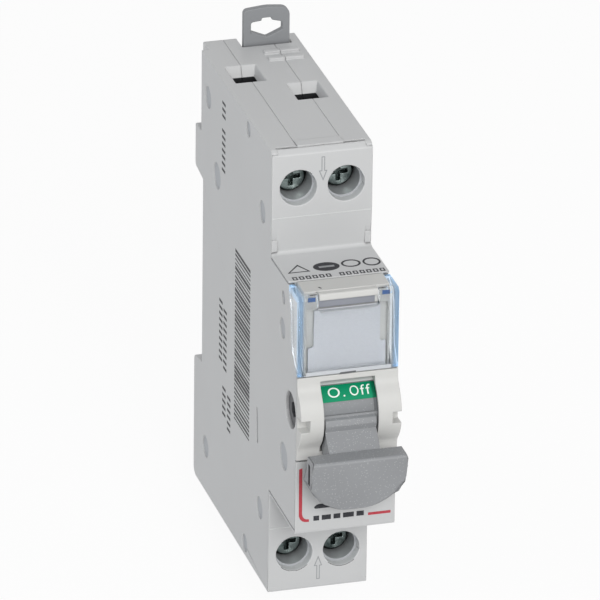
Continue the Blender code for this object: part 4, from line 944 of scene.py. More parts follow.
class Recipe:
    """A geometry tree with named inputs, baked to a plain mesh."""

    def __init__(self, name: str, inputs: Sequence[tuple[str, str, object]]) -> None:
        """Open the tree.

        Args:
            name: The tree's name.
            inputs: Socket name, type and default of each input.
        """
        self.tree = bpy.data.node_groups.new(name, "GeometryNodeTree")
        self.graph = Graph(self.tree)
        self.keys: dict[str, str] = {}
        for label, kind, default in inputs:
            socket = self.tree.interface.new_socket(label, in_out="INPUT", socket_type=kind)
            if default is not None:
                socket.default_value = default
            self.keys[label] = socket.identifier
        self.tree.interface.new_socket("Geometry", in_out="OUTPUT", socket_type="NodeSocketGeometry")
        self.start = self.graph.add("NodeGroupInput")

    def close(self, geometry: bpy.types.NodeSocket) -> None:
        """End the tree in Realize Instances and Set Material.

        Args:
            geometry: The geometry to finish.
        """
        real = self.graph.add("GeometryNodeRealizeInstances", {0: geometry})
        dressed = self.graph.add("GeometryNodeSetMaterial", {0: real.outputs[0]})
        self.graph.feed(self.start.outputs["Finish"], dressed.inputs["Material"])
        end = self.graph.add("NodeGroupOutput")
        self.graph.feed(dressed.outputs[0], end.inputs[0])

    def run(self, **values: object) -> bpy.types.Mesh:
        """Bake the tree with the given inputs.

        Args:
            **values: Input values by socket name, spaces written as underscores.

        Returns:
            The baked mesh.
        """
        holder = bpy.data.objects.new(self.tree.name, bpy.data.meshes.new(self.tree.name))
        bpy.context.scene.collection.objects.link(holder)
        modifier = holder.modifiers.new("recipe", "NODES")
        modifier.node_group = self.tree
        for label, value in values.items():
            modifier[self.keys[label.replace("_", " ")]] = value
        return bake(holder)


def thread_recipe() -> Recipe:
    """Make the tree of a screw thread's ridge: a spiral swept with a small profile.

    Returns:
        The recipe.
    """
    recipe = Recipe("thread_ridge", [("Turns", FLOAT, 8.0), ("Pitch", FLOAT, 0.0008),
                                     ("Radius", FLOAT, 0.0023), ("Ridge", FLOAT, 0.0002),
                                     ("Finish", MATERIAL, None)])
    graph, given = recipe.graph, recipe.start.outputs
    height = graph.math("MULTIPLY", given["Turns"], given["Pitch"])
    spiral = graph.add("GeometryNodeCurveSpiral",
                       {"Resolution": 24, "Rotations": given["Turns"], "Start Radius": given["Radius"],
                        "End Radius": given["Radius"], "Height": height})
    ridge = graph.add("GeometryNodeCurvePrimitiveCircle", {"Resolution": 4, "Radius": given["Ridge"]})
    swept = graph.add("GeometryNodeCurveToMesh", {"Curve": spiral.outputs[0],
                                                  "Profile Curve": ridge.outputs[0], "Fill Caps": True})
    recipe.close(swept.outputs[0])
    return recipe


def bars_recipe() -> Recipe:
    """Make the tree of a row of printed bars of seeded widths, standing on a side wall.

    Returns:
        The recipe.
    """
    recipe = Recipe("bar_row", [("Count", WHOLE, 60), ("Step", FLOAT, 0.0005), ("Length", FLOAT, 0.01),
                                ("Thin", FLOAT, 0.3), ("Thick", FLOAT, 0.9), ("Lift", FLOAT, 0.00003),
                                ("Seed", WHOLE, 7), ("Finish", MATERIAL, None)])
    graph, given = recipe.graph, recipe.start.outputs
    step = graph.add("ShaderNodeCombineXYZ", {2: graph.math("MULTIPLY", given["Step"], -1.0)})
    line = graph.add("GeometryNodeMeshLine", {"Count": given["Count"], "Offset": step.outputs[0]})
    size = graph.add("ShaderNodeCombineXYZ", {0: given["Lift"], 1: given["Length"], 2: given["Step"]})
    bar = graph.add("GeometryNodeMeshCube", {"Size": size.outputs[0]})
    share = graph.add("FunctionNodeRandomValue", {2: given["Thin"], 3: given["Thick"], "Seed": given["Seed"]},
                      data_type="FLOAT")
    scale = graph.add("ShaderNodeCombineXYZ", {0: 1.0, 1: 1.0, 2: share.outputs[1]})
    placed = graph.add("GeometryNodeInstanceOnPoints",
                       {"Points": line.outputs[0], "Instance": bar.outputs[0], "Scale": scale.outputs[0]})
    recipe.close(placed.outputs[0])
    return recipe


def ribs_recipe() -> Recipe:
    """Make the tree of a row of small triangular ribs, as on a contact strip under a screw.

    Returns:
        The recipe.
    """
    recipe = Recipe("grip_ribs", [("Count", WHOLE, 6), ("Step", FLOAT, 0.0008), ("Width", FLOAT, 0.0026),
                                  ("Height", FLOAT, 0.0002), ("Finish", MATERIAL, None)])
    graph, given = recipe.graph, recipe.start.outputs
    step = graph.add("ShaderNodeCombineXYZ", {2: given["Step"]})
    line = graph.add("GeometryNodeMeshLine", {"Count": given["Count"], "Offset": step.outputs[0]})
    rib = graph.add("GeometryNodeMeshCylinder", {"Vertices": 3, "Side Segments": 1,
                                                 "Radius": given["Height"], "Depth": given["Width"]})
    turned = graph.add("GeometryNodeTransform", {"Geometry": rib.outputs[0],
                                                 "Rotation": (0.0, math.pi / 2, 0.0)})
    placed = graph.add("GeometryNodeInstanceOnPoints", {"Points": line.outputs[0],
                                                        "Instance": turned.outputs[0]})
    recipe.close(placed.outputs[0])
    return recipe


def plate_mesh(outlines: Sequence[Sequence[Flat]], place: Placer, lift: float) -> bpy.types.Mesh:
    """Make thin plates from flat outlines, half sunk in their carrier.

    Args:
        outlines: Each plate's outline as (u, v) points; it may be concave.
        place: Maps (u, v, lift) to a point in the scene.
        lift: How far the plate stands out.

    Returns:
        The mesh of all plates, closed and facing outwards.
    """
    work = bmesh.new()
    for outline in outlines:
        low = [work.verts.new(place(u, v, -lift)) for u, v in outline]
        high = [work.verts.new(place(u, v, lift)) for u, v in outline]
        count = len(outline)
        work.faces.new(high)
        work.faces.new(low[::-1])
        for index in range(count):
            other = (index + 1) % count
            work.faces.new((low[index], low[other], high[other], high[index]))
    bmesh.ops.recalc_face_normals(work, faces=work.faces)
    return mesh_of(work, "plate")


def ring_plate(outer: Sequence[Flat], inner: Sequence[Flat], place: Placer, lift: float) -> bpy.types.Mesh:
    """Make a thin frame between two outlines of as many points.

    Args:
        outer: The outer outline.
        inner: The inner outline, point for point.
        place: Maps (u, v, lift) to a point in the scene.
        lift: How far the frame stands out.

    Returns:
        The frame's mesh.
    """
    work = bmesh.new()
    rows = []
    for outline, height in ((outer, -lift), (outer, lift), (inner, lift), (inner, -lift)):
        rows.append([work.verts.new(place(u, v, height)) for u, v in outline])
    count = len(outer)
    for first, second in zip(rows, rows[1:] + rows[:1]):
        for index in range(count):
            other = (index + 1) % count
            work.faces.new((first[index], first[other], second[other], second[index]))
    bmesh.ops.recalc_face_normals(work, faces=work.faces)
    return mesh_of(work, "ring")


def rectangle(left: float, foot: float, right: float, head: float) -> tuple[Flat, ...]:
    """Return the corners of an upright rectangle."""
    return ((left, foot), (right, foot), (right, head), (left, head))


def letters(text: str, size: float) -> Glyphs:
    """Make the flat shape of a piece of text.

    Args:
        text: The text, generic switch lettering only.
        size: The font size in metres.

    Returns:
        Its points (u, v) and its faces as point numbers.
    """
    curve = bpy.data.curves.new("letters", "FONT")
    curve.body = text
    curve.size = size
    curve.resolution_u = 4
    curve.align_x = "CENTER"
    curve.align_y = "CENTER"
    holder = bpy.data.objects.new("letters", curve)
    bpy.context.scene.collection.objects.link(holder)
    mesh = bake(holder)
    points = [(vert.co.x, vert.co.y) for vert in mesh.vertices]
    faces = [tuple(face.vertices) for face in mesh.polygons]
    bpy.data.meshes.remove(mesh)
    return points, faces


def letters_mesh(glyphs: Glyphs, place: Placer, lift: float, stretch: float = 1.0,
                 longest: float = 0.0003) -> bpy.types.Mesh:
    """Lay flat letters on a carrier with a small thickness.

    Args:
        glyphs: The letters' points and faces.
        place: Maps (u, v, lift) to a point in the scene.
        lift: How far the letters stand out.
        stretch: Widening of the letters.
        longest: Longer edges are split, so that they follow a round carrier.

    Returns:
        The letters' mesh.
    """
    work = bmesh.new()
    points, faces = glyphs
    flat = [work.verts.new((u * stretch, v, 0.0)) for u, v in points]
    for numbers in faces:
        work.faces.new([flat[number] for number in numbers])
    bmesh.ops.remove_doubles(work, verts=work.verts, dist=1e-6)
    bmesh.ops.subdivide_edges(work, edges=[edge for edge in work.edges if edge.calc_length() > longest],
                              cuts=2, use_grid_fill=True)
    raised = bmesh.ops.extrude_face_region(work, geom=list(work.faces))
    for element in raised["geom"]:
        if isinstance(element, bmesh.types.BMVert):
            element.co.z = 1.0
    for vert in work.verts:
        vert.co = place(vert.co.x, vert.co.y, lift if vert.co.z > 0.5 else -lift)
    bmesh.ops.recalc_face_normals(work, faces=work.faces)
    return mesh_of(work, "letters")


def oval(centre: Flat, radius: float, squash: float, steps: int = 40) -> list[Flat]:
    """Make points round a circle or ellipse.

    Args:
        centre: Its middle.
        radius: Its half width.
        squash: Its height as a share of its width.
        steps: The number of points.

    Returns:
        The points.
    """
    turns = [2 * math.pi * step / steps for step in range(steps)]
    return [(centre[0] + radius * math.cos(turn), centre[1] + radius * squash * math.sin(turn))
            for turn in turns]


def shrunk(outline: Sequence[Flat], across: float, up: float) -> list[Flat]:
    """Shrink an outline about the mean of its points.

    Args:
        outline: The outline.
        across: The share of its width that stays.
        up: The share of its height that stays.

    Returns:
        The smaller outline, point for point.
    """
    middle = (sum(u for u, v in outline) / len(outline), sum(v for u, v in outline) / len(outline))
    return [(middle[0] + (u - middle[0]) * across, middle[1] + (v - middle[1]) * up) for u, v in outline]


def terminals() -> list[tuple[str, End, Side]]:
    """Return the name, end and side of each of the four terminals."""
    return [(f"{end.name.lower()}_{side.name.lower()}", end, side) for end in End for side in Side]


def plain_box(name: str, low: Point, high: Point, finish: bpy.types.Material, body: str,
              slot: str) -> bpy.types.Object:
    """Make a small box with slightly softened edges.

    Args:
        name: The piece's name.
        low: Its lower corner.
        high: Its upper corner.
        finish: Its finish.
        body: The body it rides on.
        slot: The record's material slot.

    Returns:
        The piece.
    """
    work = bmesh.new()
    bmesh.ops.create_cube(work, size=1.0)
    size = Vector(high) - Vector(low)
    bmesh.ops.scale(work, vec=size, verts=work.verts)
    bmesh.ops.translate(work, vec=(Vector(high) + Vector(low)) / 2, verts=work.verts)
    bmesh.ops.bevel(work, geom=list(work.edges), offset=min(size) * 0.2, segments=2, affect="EDGES")
    return place_mesh(name, mesh_of(work, name), finish, body, slot)


@dataclass
class Casing:
    """The three moulded casing pieces."""

    finishes: Finishes
    edge: float = 0.00012
    wall: float = 0.00885
    front: float = -0.0430
    slack: float = 0.0001
    ledge_slack: float = 0.0002
    wall_slack: float = 0.0003
    mark_floor: Flat = (0.00825, 0.00875)
    throat_foot: float = 0.0365
    throat_top: float = 0.03962
    throat_width: float = 0.0043
    pole_offset: float = 0.0042
    mouth_radius: float = 0.00325
    mouth_front: float = -0.0439
    mouth_wall_half: float = 0.0009
    mouth_wall_edge: float = 0.00775
    bore_depth: float = 0.0070
    ledge_y: float = -0.0424
    lip_edge: float = 0.0074
    lip_end_across: Flat = (0.00764, 0.00884)
    lip_end_depth: Flat = (-0.04403, -0.04350)
    lip_end_height: Flat = (0.02284, 0.02518)
    chamfer_across: Flat = (0.00760, 0.00882)
    chamfer_front: Flat = (-0.04430, 0.04055)
    chamfer_run: Flat = (0.00125, 0.00093)
    chamfer_normal: Flat = (-0.6, 0.8)
    chamfer_lift: float = 0.00003
    cover_shifts: tuple[Shift, ...] = ((0, 0.00435, 0.00407), (1, -0.0421, 0.04236), (1, -0.04365, 0.04385))
    middle_shifts: tuple[Shift, ...] = ((0, 0.0075, 0.00776), (0, 0.0074, 0.00776))
    screw_height: float = field(init=False)

    def __post_init__(self) -> None:
        """Find the screws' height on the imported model."""
        low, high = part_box("screw_upper_right")
        self.screw_height = (low.z + high.z) / 2

    def from_screw(self, middle: Vector) -> float:
        """Return how far a point stands from the nearest screw's axis."""
        return math.hypot(abs(middle.x) - self.pole_offset, abs(middle.z) - self.screw_height)

    def hold_mouth(self, place: Vector) -> Optional[Vector]:
        """Keep the rim of a screw hole round where it touches the lip beside it.

        Args:
            place: A vertex of the middle casing.

        Returns:
            Its new place, or nothing where the shifts may move it.
        """
        if place.y > self.ledge_y + 0.00001 or self.from_screw(place) > self.mouth_radius + self.slack:
            return None
        if abs(abs(place.x) - self.lip_edge) < 0.00002:
            return Vector((math.copysign(self.pole_offset + self.mouth_radius, place.x), place.y, place.z))
        return place

    def in_mouth(self, middle: Vector, normal: Vector) -> bool:
        """Say whether a face is the lit wall of a screw hole's mouth."""
        return (middle.y < self.ledge_y + self.slack and abs(normal.y) < 0.5
                and abs(self.from_screw(middle) - self.mouth_radius) < self.wall_slack)

    def on_ledge(self, middle: Vector, normal: Vector) -> bool:
        """Say whether a face is the ring step inside a screw hole."""
        return (abs(middle.y - self.ledge_y) < self.ledge_slack and abs(normal.y) > 0.3
                and self.from_screw(middle) < self.mouth_radius)

    def in_bore(self, middle: Vector, normal: Vector) -> bool:
        """Say whether a face is the dim wall of a screw hole behind its step."""
        depth = middle.y - self.ledge_y
        return (self.slack < depth < self.bore_depth and abs(normal.y) < 0.9
                and self.from_screw(middle) < self.mouth_radius - self.slack)

    def in_mark(self, middle: Vector, normal: Vector) -> bool:
        """Say whether a face is the floor of a mark sunk in a side wall."""
        low, high = self.mark_floor
        return abs(normal.x) > 0.9 and low < abs(middle.x) < high

    def on_shoulder(self, middle: Vector, normal: Vector) -> bool:
        """Say whether a face is the plain front of a shoulder."""
        return normal.y < -0.95 and middle.y < self.front

    def piece(self, name: str, mesh: bpy.types.Mesh, finish: bpy.types.Material) -> None:
        """Put a small piece on the casing."""
        place_mesh(name, mesh, finish, Body.CASING.value, "casing")

    def box(self, name: str, spans: Sequence[Flat], finish: bpy.types.Material) -> None:
        """Put a small box on the casing.

        Args:
            name: The box's name.
            spans: Its two bounds along x, y and z, in either order.
            finish: Its finish.
        """
        low, high = zip(*(sorted(span) for span in spans))
        plain_box(name, low, high, finish, Body.CASING.value, "casing")

    def mouth_wall(self, name: str, end: End, side: Side) -> None:
        """Close the thin gap between a screw hole's mouth and the side cover.

        Args:
            name: The terminal's name.
            end: The upper or the lower end.
            side: The left or the right side.
        """
        middle = end.value * self.screw_height
        inner = self.pole_offset + self.mouth_radius + 0.00001
        spans = ((side.value * inner, side.value * self.mouth_wall_edge), (self.mouth_front, self.ledge_y),
                 (middle - self.mouth_wall_half, middle + self.mouth_wall_half))
        self.box(f"mouth_wall_{name}", spans, self.finishes.mouth)

    def lip_end(self, name: str, end: End, side: Side) -> None:
        """Fill the slot at the end of the shoulder's lip and cover the joint beside it.

        Args:
            name: The terminal's name.
            end: The upper or the lower end.
            side: The left or the right side.
        """
        across = tuple(side.value * place for place in self.lip_end_across)
        height = tuple(end.value * place for place in self.lip_end_height)
        self.box(f"lip_end_{name}", (across, self.lip_end_depth, height), self.finishes.front)

    def corner_skin(self, name: str, end: End, side: Side) -> None:
        """Cover the joint at the shoulder's outer corner with a thin skin on its chamfer.

        Args:
            name: The terminal's name.
            end: The upper or the lower end.
            side: The left or the right side.
        """
        def on_chamfer(x: float, along: float, lift: float) -> Point:
            """Place a point on the chamfer."""
            y, z = (start + run * along + normal * lift for start, run, normal
                    in zip(self.chamfer_front, self.chamfer_run, self.chamfer_normal))
            return (x, y, end.value * z)

        left, right = sorted(side.value * place for place in self.chamfer_across)
        # The lower chamfer mirrors the upper one, so its outline runs the other way round.
        outline = rectangle(left, 0.0, right, 1.0)[::end.value]
        mesh = plate_mesh([outline], on_chamfer, self.chamfer_lift)
        self.piece(f"corner_skin_{name}", mesh, self.finishes.casing)

    def in_throat(self, middle: Vector, normal: Vector) -> bool:
        """Say whether a face is a wall of a cable throat, behind its funnel.

        Args:
            middle: The face's middle.
            normal: The face's normal.

        Returns:
            Whether it is.
        """
        across = abs(abs(middle.x) - self.pole_offset) < self.throat_width / 2 + self.wall_slack
        return across and self.throat_foot < abs(middle.z) < self.throat_top and abs(normal.z) < 0.75

    def build(self) -> None:
        """Show the middle casing and both side covers, with their small pieces."""
        # Painted light and shade on the casing: the shoulder fronts, mark floors, screw-hole steps and bores
        # take darker copies of the grey, the cable throats near black and the screw-hole mouths a lighter
        # copy.
        front = Paint(self.finishes.front, self.on_shoulder)
        throat = Paint(self.finishes.throat, self.in_throat)
        marks = Paint(self.finishes.recess, self.in_mark)
        bores = (Paint(self.finishes.mouth, self.in_mouth), Paint(self.finishes.recess, self.on_ledge),
                 Paint(self.finishes.bore, self.in_bore))
        levels = (self.throat_top, -self.throat_top)
        SmoothedNode("middle_casing", Body.CASING.value, "casing", self.finishes.casing, edge=self.edge,
                     shifts=self.middle_shifts, paints=(front, throat, *bores), levels=levels,
                     hold=self.hold_mouth).build()
        for node in ("left_cover", "right_cover"):
            SmoothedNode(node, Body.CASING.value, "casing", self.finishes.casing, edge=self.edge,
                         shifts=self.cover_shifts, paints=(front, throat, marks), levels=levels).build()
        for name, end, side in terminals():
            self.mouth_wall(name, end, side)
            self.lip_end(name, end, side)
            self.corner_skin(name, end, side)


@dataclass
class Bezel:
    """The white bezel round the toggle window."""

    finishes: Finishes
    edge: float = 0.00005
    sharp_deg: float = 24.0

    def build(self) -> None:
        """Show the bezel with soft edges."""
        SmoothedNode("front_bezel", Body.CASING.value, "bezel", self.finishes.bezel, edge=self.edge,
                     sharp_deg=self.sharp_deg).build()


@dataclass
class LabelHolder:
    """The clear cover with its blue lugs and the card behind it."""

    finishes: Finishes
    edge: float = 0.00006
    front: float = -0.0612
    panel: float = -0.0599
    rear: float = -0.0590
    foot: float = 0.0080
    notch_half: float = 0.0056
    notch_rear: float = -0.0595
    notch_height: Flat = (0.0188, 0.0198)
    lift: float = 0.00002
    hinge_foot: float = 0.0211
    hinge_head: float = 0.0219
    left_hinge: Flat = (-0.00720, -0.00585)
    right_hinge: Flat = (0.00580, 0.00715)
    finger_recess_shade: Bounds = (-0.0049, 0.0193, 0.0049, 0.0209)
    cover_foot_light: Bounds = (-0.0074, 0.0073, 0.0076, 0.0080)
    card_foot_shade: Bounds = (-0.0070, 0.0080, 0.0074, 0.00808)
    release_slot_shade: tuple[Flat, ...] = ((-0.00165, 0.00714), (0.00140, 0.00722), (0.00140, 0.00752),
                                      (-0.00130, 0.00748))

    def on_front(self, x: float, z: float, lift: float) -> Point:
        """Place a point on the cover's front."""
        return (x, self.front - lift, z)

    def above_front(self, x: float, z: float, lift: float) -> Point:
        """Place a point a little in front of the cover's front."""
        return self.on_front(x, z, lift + self.lift)

    def on_panel(self, x: float, z: float, lift: float) -> Point:
        """Place a point on the panel behind the cover."""
        return (x, self.panel - lift, z)

    def lit_cover_edge(self, middle: Vector, normal: Vector) -> bool:
        """Say whether a face is an edge of the cover's notch or foot that takes painted light.

        Args:
            middle: The face's middle.
            normal: The face's normal.

        Returns:
            Whether it is.
        """
        low, high = self.notch_height
        in_notch = abs(middle.x) < self.notch_half and middle.y < self.notch_rear and low < middle.z < high
        at_foot = middle.z < self.foot and middle.y < self.rear
        return (in_notch and normal.z > 0.3) or (at_foot and normal.z < -0.3)

    def build(self) -> None:
        """Show the cover, its hinge blocks, painted shade sheets for the tab recess and release slot, painted
        light and shade strips at its foot, and the card.
        """
        SmoothedNode("label_cover", Body.COVER.value, "clear_cover", self.finishes.clear, edge=self.edge,
                     paints=(Paint(self.finishes.cover_edge_light, self.lit_cover_edge),)).build()
        left, right = (rectangle(low, self.hinge_foot, high, self.hinge_head)
                       for low, high in (self.left_hinge, self.right_hinge))
        plates = (
            ("hinge_tint_left", left, self.on_front, self.finishes.hinge),
            ("hinge_tint_right", right, self.on_front, self.finishes.hinge),
            ("finger_recess_shade", rectangle(*self.finger_recess_shade), self.on_panel, self.finishes.shade),
            ("cover_foot_light", rectangle(*self.cover_foot_light), self.on_front, self.finishes.cover_edge_light),
            ("card_foot_shade", rectangle(*self.card_foot_shade), self.on_front, self.finishes.shade),
            ("release_slot_shade", self.release_slot_shade, self.above_front, self.finishes.crease))
        for name, outline, place, finish in plates:
            body, slot = (Body.CASING, "bezel") if place == self.on_panel else (Body.COVER, "clear_cover")
            place_mesh(name, plate_mesh([outline], place, self.lift), finish, body.value, slot)
        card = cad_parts["label_card"]
        card.data.materials.clear()
        card.data.materials.append(self.finishes.card)


@dataclass
class Toggle:
    """The rocking toggle with its coloured state bands and bands of painted light and shade on its drum."""

    finishes: Finishes
    axis_y: float = -0.0570
    axis_z: float = -0.0006
    drum_radius: float = 0.0060
    band_half: float = 0.0051
    off_band: Flat = (31.0, 60.0)
    on_band: Flat = (-134.0, -105.0)
    lift: float = 0.00003
    gap: float = 0.00001
    letter_size: float = 0.0026
    rows: int = 10
    band_sharp_deg: float = 40.0
    # Where the drum's shaded side starts, and the spans of its painted highlight (crown) and painted shade
    # (crease, skirt).
    side_edge: float = 0.0042
    crown: Flat = (62.5, 82.0)
    crease: Flat = (8.9, 10.6)
    skirt: Flat = (10.6, 31.0)
    hub_from: float = 0.0055
    hub_radius: float = 0.0034
    paddle_rear: float = -0.0657
    flank: float = 0.00840
    slot_from: float = 0.0077
    slot_depth: Flat = (-0.0687, -0.0663)
    slot_height: Flat = (-0.01005, -0.00615)
    neck_half: float = 0.0050
    neck_front: float = -0.0620
    neck_height: Flat = (-0.0010, 0.0008)
    rim_top: float = -0.0078
    rim_rear: float = -0.0668
    rim_round: float = 0.0006
    edge: float = 0.00005
    sharp_deg: float = 14.0
    slot_shifts: tuple[Shift, ...] = ((1, -0.06795, -0.0686), (1, -0.06675, -0.0664))
    off_marks: tuple[tuple[str, float, float], ...] = (("O", -0.00245, 1.1), (".", -0.0007, 1.0),
                                                       ("O", 0.00112, 0.82), ("f", 0.00252, 1.05),
                                                       ("f", 0.0035, 1.05))
    on_marks: tuple[tuple[str, float, float], ...] = (("I", -0.0028, 1.0), (".", -0.0010, 1.0),
                                                      ("O", 0.0008, 0.82), ("n", 0.0028, 1.0))

    def on_drum(self, middle_deg: float) -> Placer:
        """Return the map from a flat label to the drum's surface.

        Args:
            middle_deg: The angle of the label's middle, from the front upwards.

        Returns:
            A function of (u, v, lift).
        """
        def place(u: float, v: float, lift: float) -> Point:
            """Bend one point round the drum.

            Args:
                u: Its place across the drum.
                v: Its place along the drum's curve.
                lift: Its height over the drum.

            Returns:
                The point.
            """
            radius = self.drum_radius + self.gap + lift
            angle = math.radians(middle_deg) + v / self.drum_radius
            return (u, self.axis_y - radius * math.cos(angle), self.axis_z + radius * math.sin(angle))

        return place

    def in_slot(self, middle: Vector, normal: Vector) -> bool:
        """Say whether a face is a wall of the slot in the paddle's side.

        Args:
            middle: The face's middle.
            normal: The face's normal.

        Returns:
            Whether it is.
        """
        front, rear = self.slot_depth
        low, high = self.slot_height
        inside = front < middle.y < rear and low < middle.z < high
        return inside and self.slot_from < abs(middle.x) < self.flank - 0.00002

    def in_hub(self, middle: Vector, normal: Vector) -> bool:
        """Say whether a face belongs to a hub beside the drum."""
        reach = math.hypot(middle.y - self.axis_y, middle.z - self.axis_z)
        return abs(middle.x) > self.hub_from and reach < self.hub_radius

    def on_neck(self, middle: Vector, normal: Vector) -> bool:
        """Say whether a face is the top of the neck between drum and paddle."""
        low, high = self.neck_height
        return (abs(middle.x) < self.neck_half and middle.y < self.neck_front and low < middle.z < high
                and normal.z > 0.3)

    def band(self, name: str, span: Flat, ink: bpy.types.Material, across: Optional[Flat] = None) -> None:
        """Lay one coloured band on the drum.

        Args:
            name: The piece's name.
            span: Start and end angle in degrees.
            ink: Its ink.
            across: Its left and right edge, if it isn't the full width.
        """
        edges = across or (-self.band_half, self.band_half)
        reach = math.radians(span[1] - span[0]) / 2 * self.drum_radius
        place = self.on_drum((span[0] + span[1]) / 2)
        work = bmesh.new()
        grid, base = ([[work.verts.new(place(u, -reach + 2 * reach * row / self.rows, lift)) for u in edges]
                       for row in range(self.rows + 1)] for lift in (self.lift, -self.lift))
        for row in range(self.rows):
            for sheet in (grid, base):
                work.faces.new((sheet[row][0], sheet[row][1], sheet[row + 1][1], sheet[row + 1][0]))
            for column in (0, 1):
                work.faces.new((grid[row][column], grid[row + 1][column], base[row + 1][column],
                                base[row][column]))
        for row in (0, self.rows):
            work.faces.new((grid[row][0], grid[row][1], base[row][1], base[row][0]))
        bmesh.ops.recalc_face_normals(work, faces=work.faces)
        mesh = mesh_of(work, name)
        mesh.shade_smooth()
        mesh.set_sharp_from_angle(angle=math.radians(self.band_sharp_deg))
        place_mesh(name, mesh, ink, Body.TOGGLE.value, "toggle")

    def narrowed(self, place: Vector) -> Optional[Vector]:
        """Return where a vertex of the paddle's flank goes, or nothing for the rest."""
        if place.y < self.paddle_rear and abs(place.x) > self.flank:
            return Vector((math.copysign(self.flank, place.x), place.y, place.z))
        return None

    def round_lower_rim(self, work: bmesh.types.BMesh) -> None:
        """Round the paddle's lower front rim more than its other edges.

        Args:
            work: The welded toggle.
        """
        rim = []
        for edge in work.edges:
            middle = (edge.verts[0].co + edge.verts[1].co) / 2
            if len(edge.link_faces) != 2 or middle.z > self.rim_top or middle.y > self.rim_rear:
                continue
            one, other = (face.normal for face in edge.link_faces)
            front, side = (one, other) if one.y < other.y else (other, one)
            if front.y < -0.9 and side.y > -0.6:
                rim.append(edge)
        bmesh.ops.bevel(work, geom=rim, offset=self.rim_round, segments=3, profile=0.5, affect="EDGES",
                        clamp_overlap=False)
        LOG.info("paddle rim: %d edges rounded", len(rim))

    def build(self) -> None:
        """Show the toggle, its bands and its lettering."""
        # Painted shade: the hubs and the paddle's side slots take dark grey, and the neck's top a darker copy
        # of the toggle's grey.
        paints = (Paint(self.finishes.socket, self.in_hub), Paint(self.finishes.socket, self.in_slot),
                  Paint(self.finishes.drum, self.on_neck))
        SmoothedNode("toggle", Body.TOGGLE.value, "toggle", self.finishes.toggle, edge=self.edge,
                     sharp_deg=self.sharp_deg, paints=paints, hold=self.narrowed,
                     rework=self.round_lower_rim, shifts=self.slot_shifts).build()
        self.band("off_band", self.off_band, self.finishes.green)
        self.band("on_band", self.on_band, self.finishes.red)
        # Painted light and shade on the drum: a pale crown above the off band, a dark crease, a darker skirt
        # below the band with a dark strip at its side, and a darker green where the off band meets that side.
        self.band("drum_crown_highlight", self.crown, self.finishes.rim)
        self.band("drum_crease_shade", self.crease, self.finishes.crease)
        self.band("drum_front_shade", self.skirt, self.finishes.drum, (-self.band_half, self.side_edge))
        self.band("drum_side_shade", self.skirt, self.finishes.crease, (self.side_edge, self.band_half))
        self.band("off_band_side_shade", self.off_band, self.finishes.green_in_shade,
                  (self.side_edge, self.band_half + self.gap))
        self.lettering("off", self.off_marks, sum(self.off_band) / 2)
        self.lettering("on", self.on_marks, sum(self.on_band) / 2)

    def lettering(self, name: str, marks: Sequence[tuple[str, float, float]], middle: float) -> None:
        """Print the state's lettering on its band.

        Args:
            name: The state's name.
            marks: Each mark with its place across the band and its widening.
            middle: The angle of the band's middle.
        """
        on_drum = self.on_drum(middle)
        for number, (mark, across, stretch) in enumerate(marks):
            def beside(u: float, v: float, lift: float, across: float = across) -> Point:
                """Place a point of this mark on the drum."""
                return on_drum(u + across, v, lift)

            mesh = letters_mesh(letters(mark, self.letter_size), beside, self.lift * 2, stretch=stretch)
            place_mesh(f"{name}_letter_{number}", mesh, self.finishes.white, Body.TOGGLE.value, "toggle")


@dataclass
class Terminals:
    """Screws with threads, cages and contact strips of the four terminals."""

    finishes: Finishes
    screw_edge: float = 0.00008
    cage_edge: float = 0.0001
    head_height: float = 0.0024
    pitch: float = 0.0007
    shank: float = 0.0020
    ridge: float = 0.00012
    bare_tip: float = 0.0008
    bare_neck: float = 0.0004
    rib_count: int = 6
    rib_step: float = 0.0009
    rib_height: float = 0.00012
    rib_share: float = 0.96
    rib_seat: float = 0.0064
    threads: Recipe = field(default_factory=thread_recipe)
    ribs: Recipe = field(default_factory=ribs_recipe)

    def screw(self, name: str) -> None:
        """Show one screw and its thread ridge.

        Args:
            name: The terminal's name, such as upper_left.
        """
        node = "screw_" + name
        SmoothedNode(node, node, "zinc_steel", self.finishes.zinc, edge=self.screw_edge).build()
        low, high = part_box(node)
        centre = (low + high) / 2
        head_rear = low.y + self.head_height
        turns = math.floor((high.y - head_rear - self.bare_tip) / self.pitch)
        mesh = self.threads.run(Turns=float(turns), Pitch=self.pitch, Radius=self.shank, Ridge=self.ridge,
                                Finish=self.finishes.zinc)
        mesh.transform(Matrix.Translation((centre.x, head_rear + self.bare_neck, centre.z))
                       @ Matrix.Rotation(-math.pi / 2, 4, "X"))
        place_mesh(node + "_thread", mesh, self.finishes.zinc, node, "zinc_steel")

    def cage(self, name: str) -> None:
        """Show one cage."""
        node = "cage_" + name
        SmoothedNode(node, node, "zinc_steel", self.finishes.cage, edge=self.cage_edge).build()

    def strip(self, name: str) -> None:
        """Show one fixed contact strip with grip ribs under the cable.

        Args:
            name: The terminal's name.
        """
        node = "fixed_contact_" + name
        SmoothedNode(node, Body.CASING.value, "copper", self.finishes.copper, edge=self.screw_edge).build()
        cage_low, cage_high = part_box("cage_" + name)
        low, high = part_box(node)
        width = (high.x - low.x) * self.rib_share
        mesh = self.ribs.run(Count=self.rib_count, Step=self.rib_step, Width=width, Height=self.rib_height,
                             Finish=self.finishes.copper)
        first = (cage_low.z + cage_high.z) / 2 - self.rib_step * (self.rib_count - 1) / 2
        mesh.transform(Matrix.Translation(((low.x + high.x) / 2, cage_high.y - self.rib_seat, first)))
        place_mesh(node + "_ribs", mesh, self.finishes.copper, Body.CASING.value, "copper")

    def build(self) -> None:
        """Show all four terminals."""
        for name, _, _ in terminals():
            self.screw(name)
            self.cage(name)
            self.strip(name)


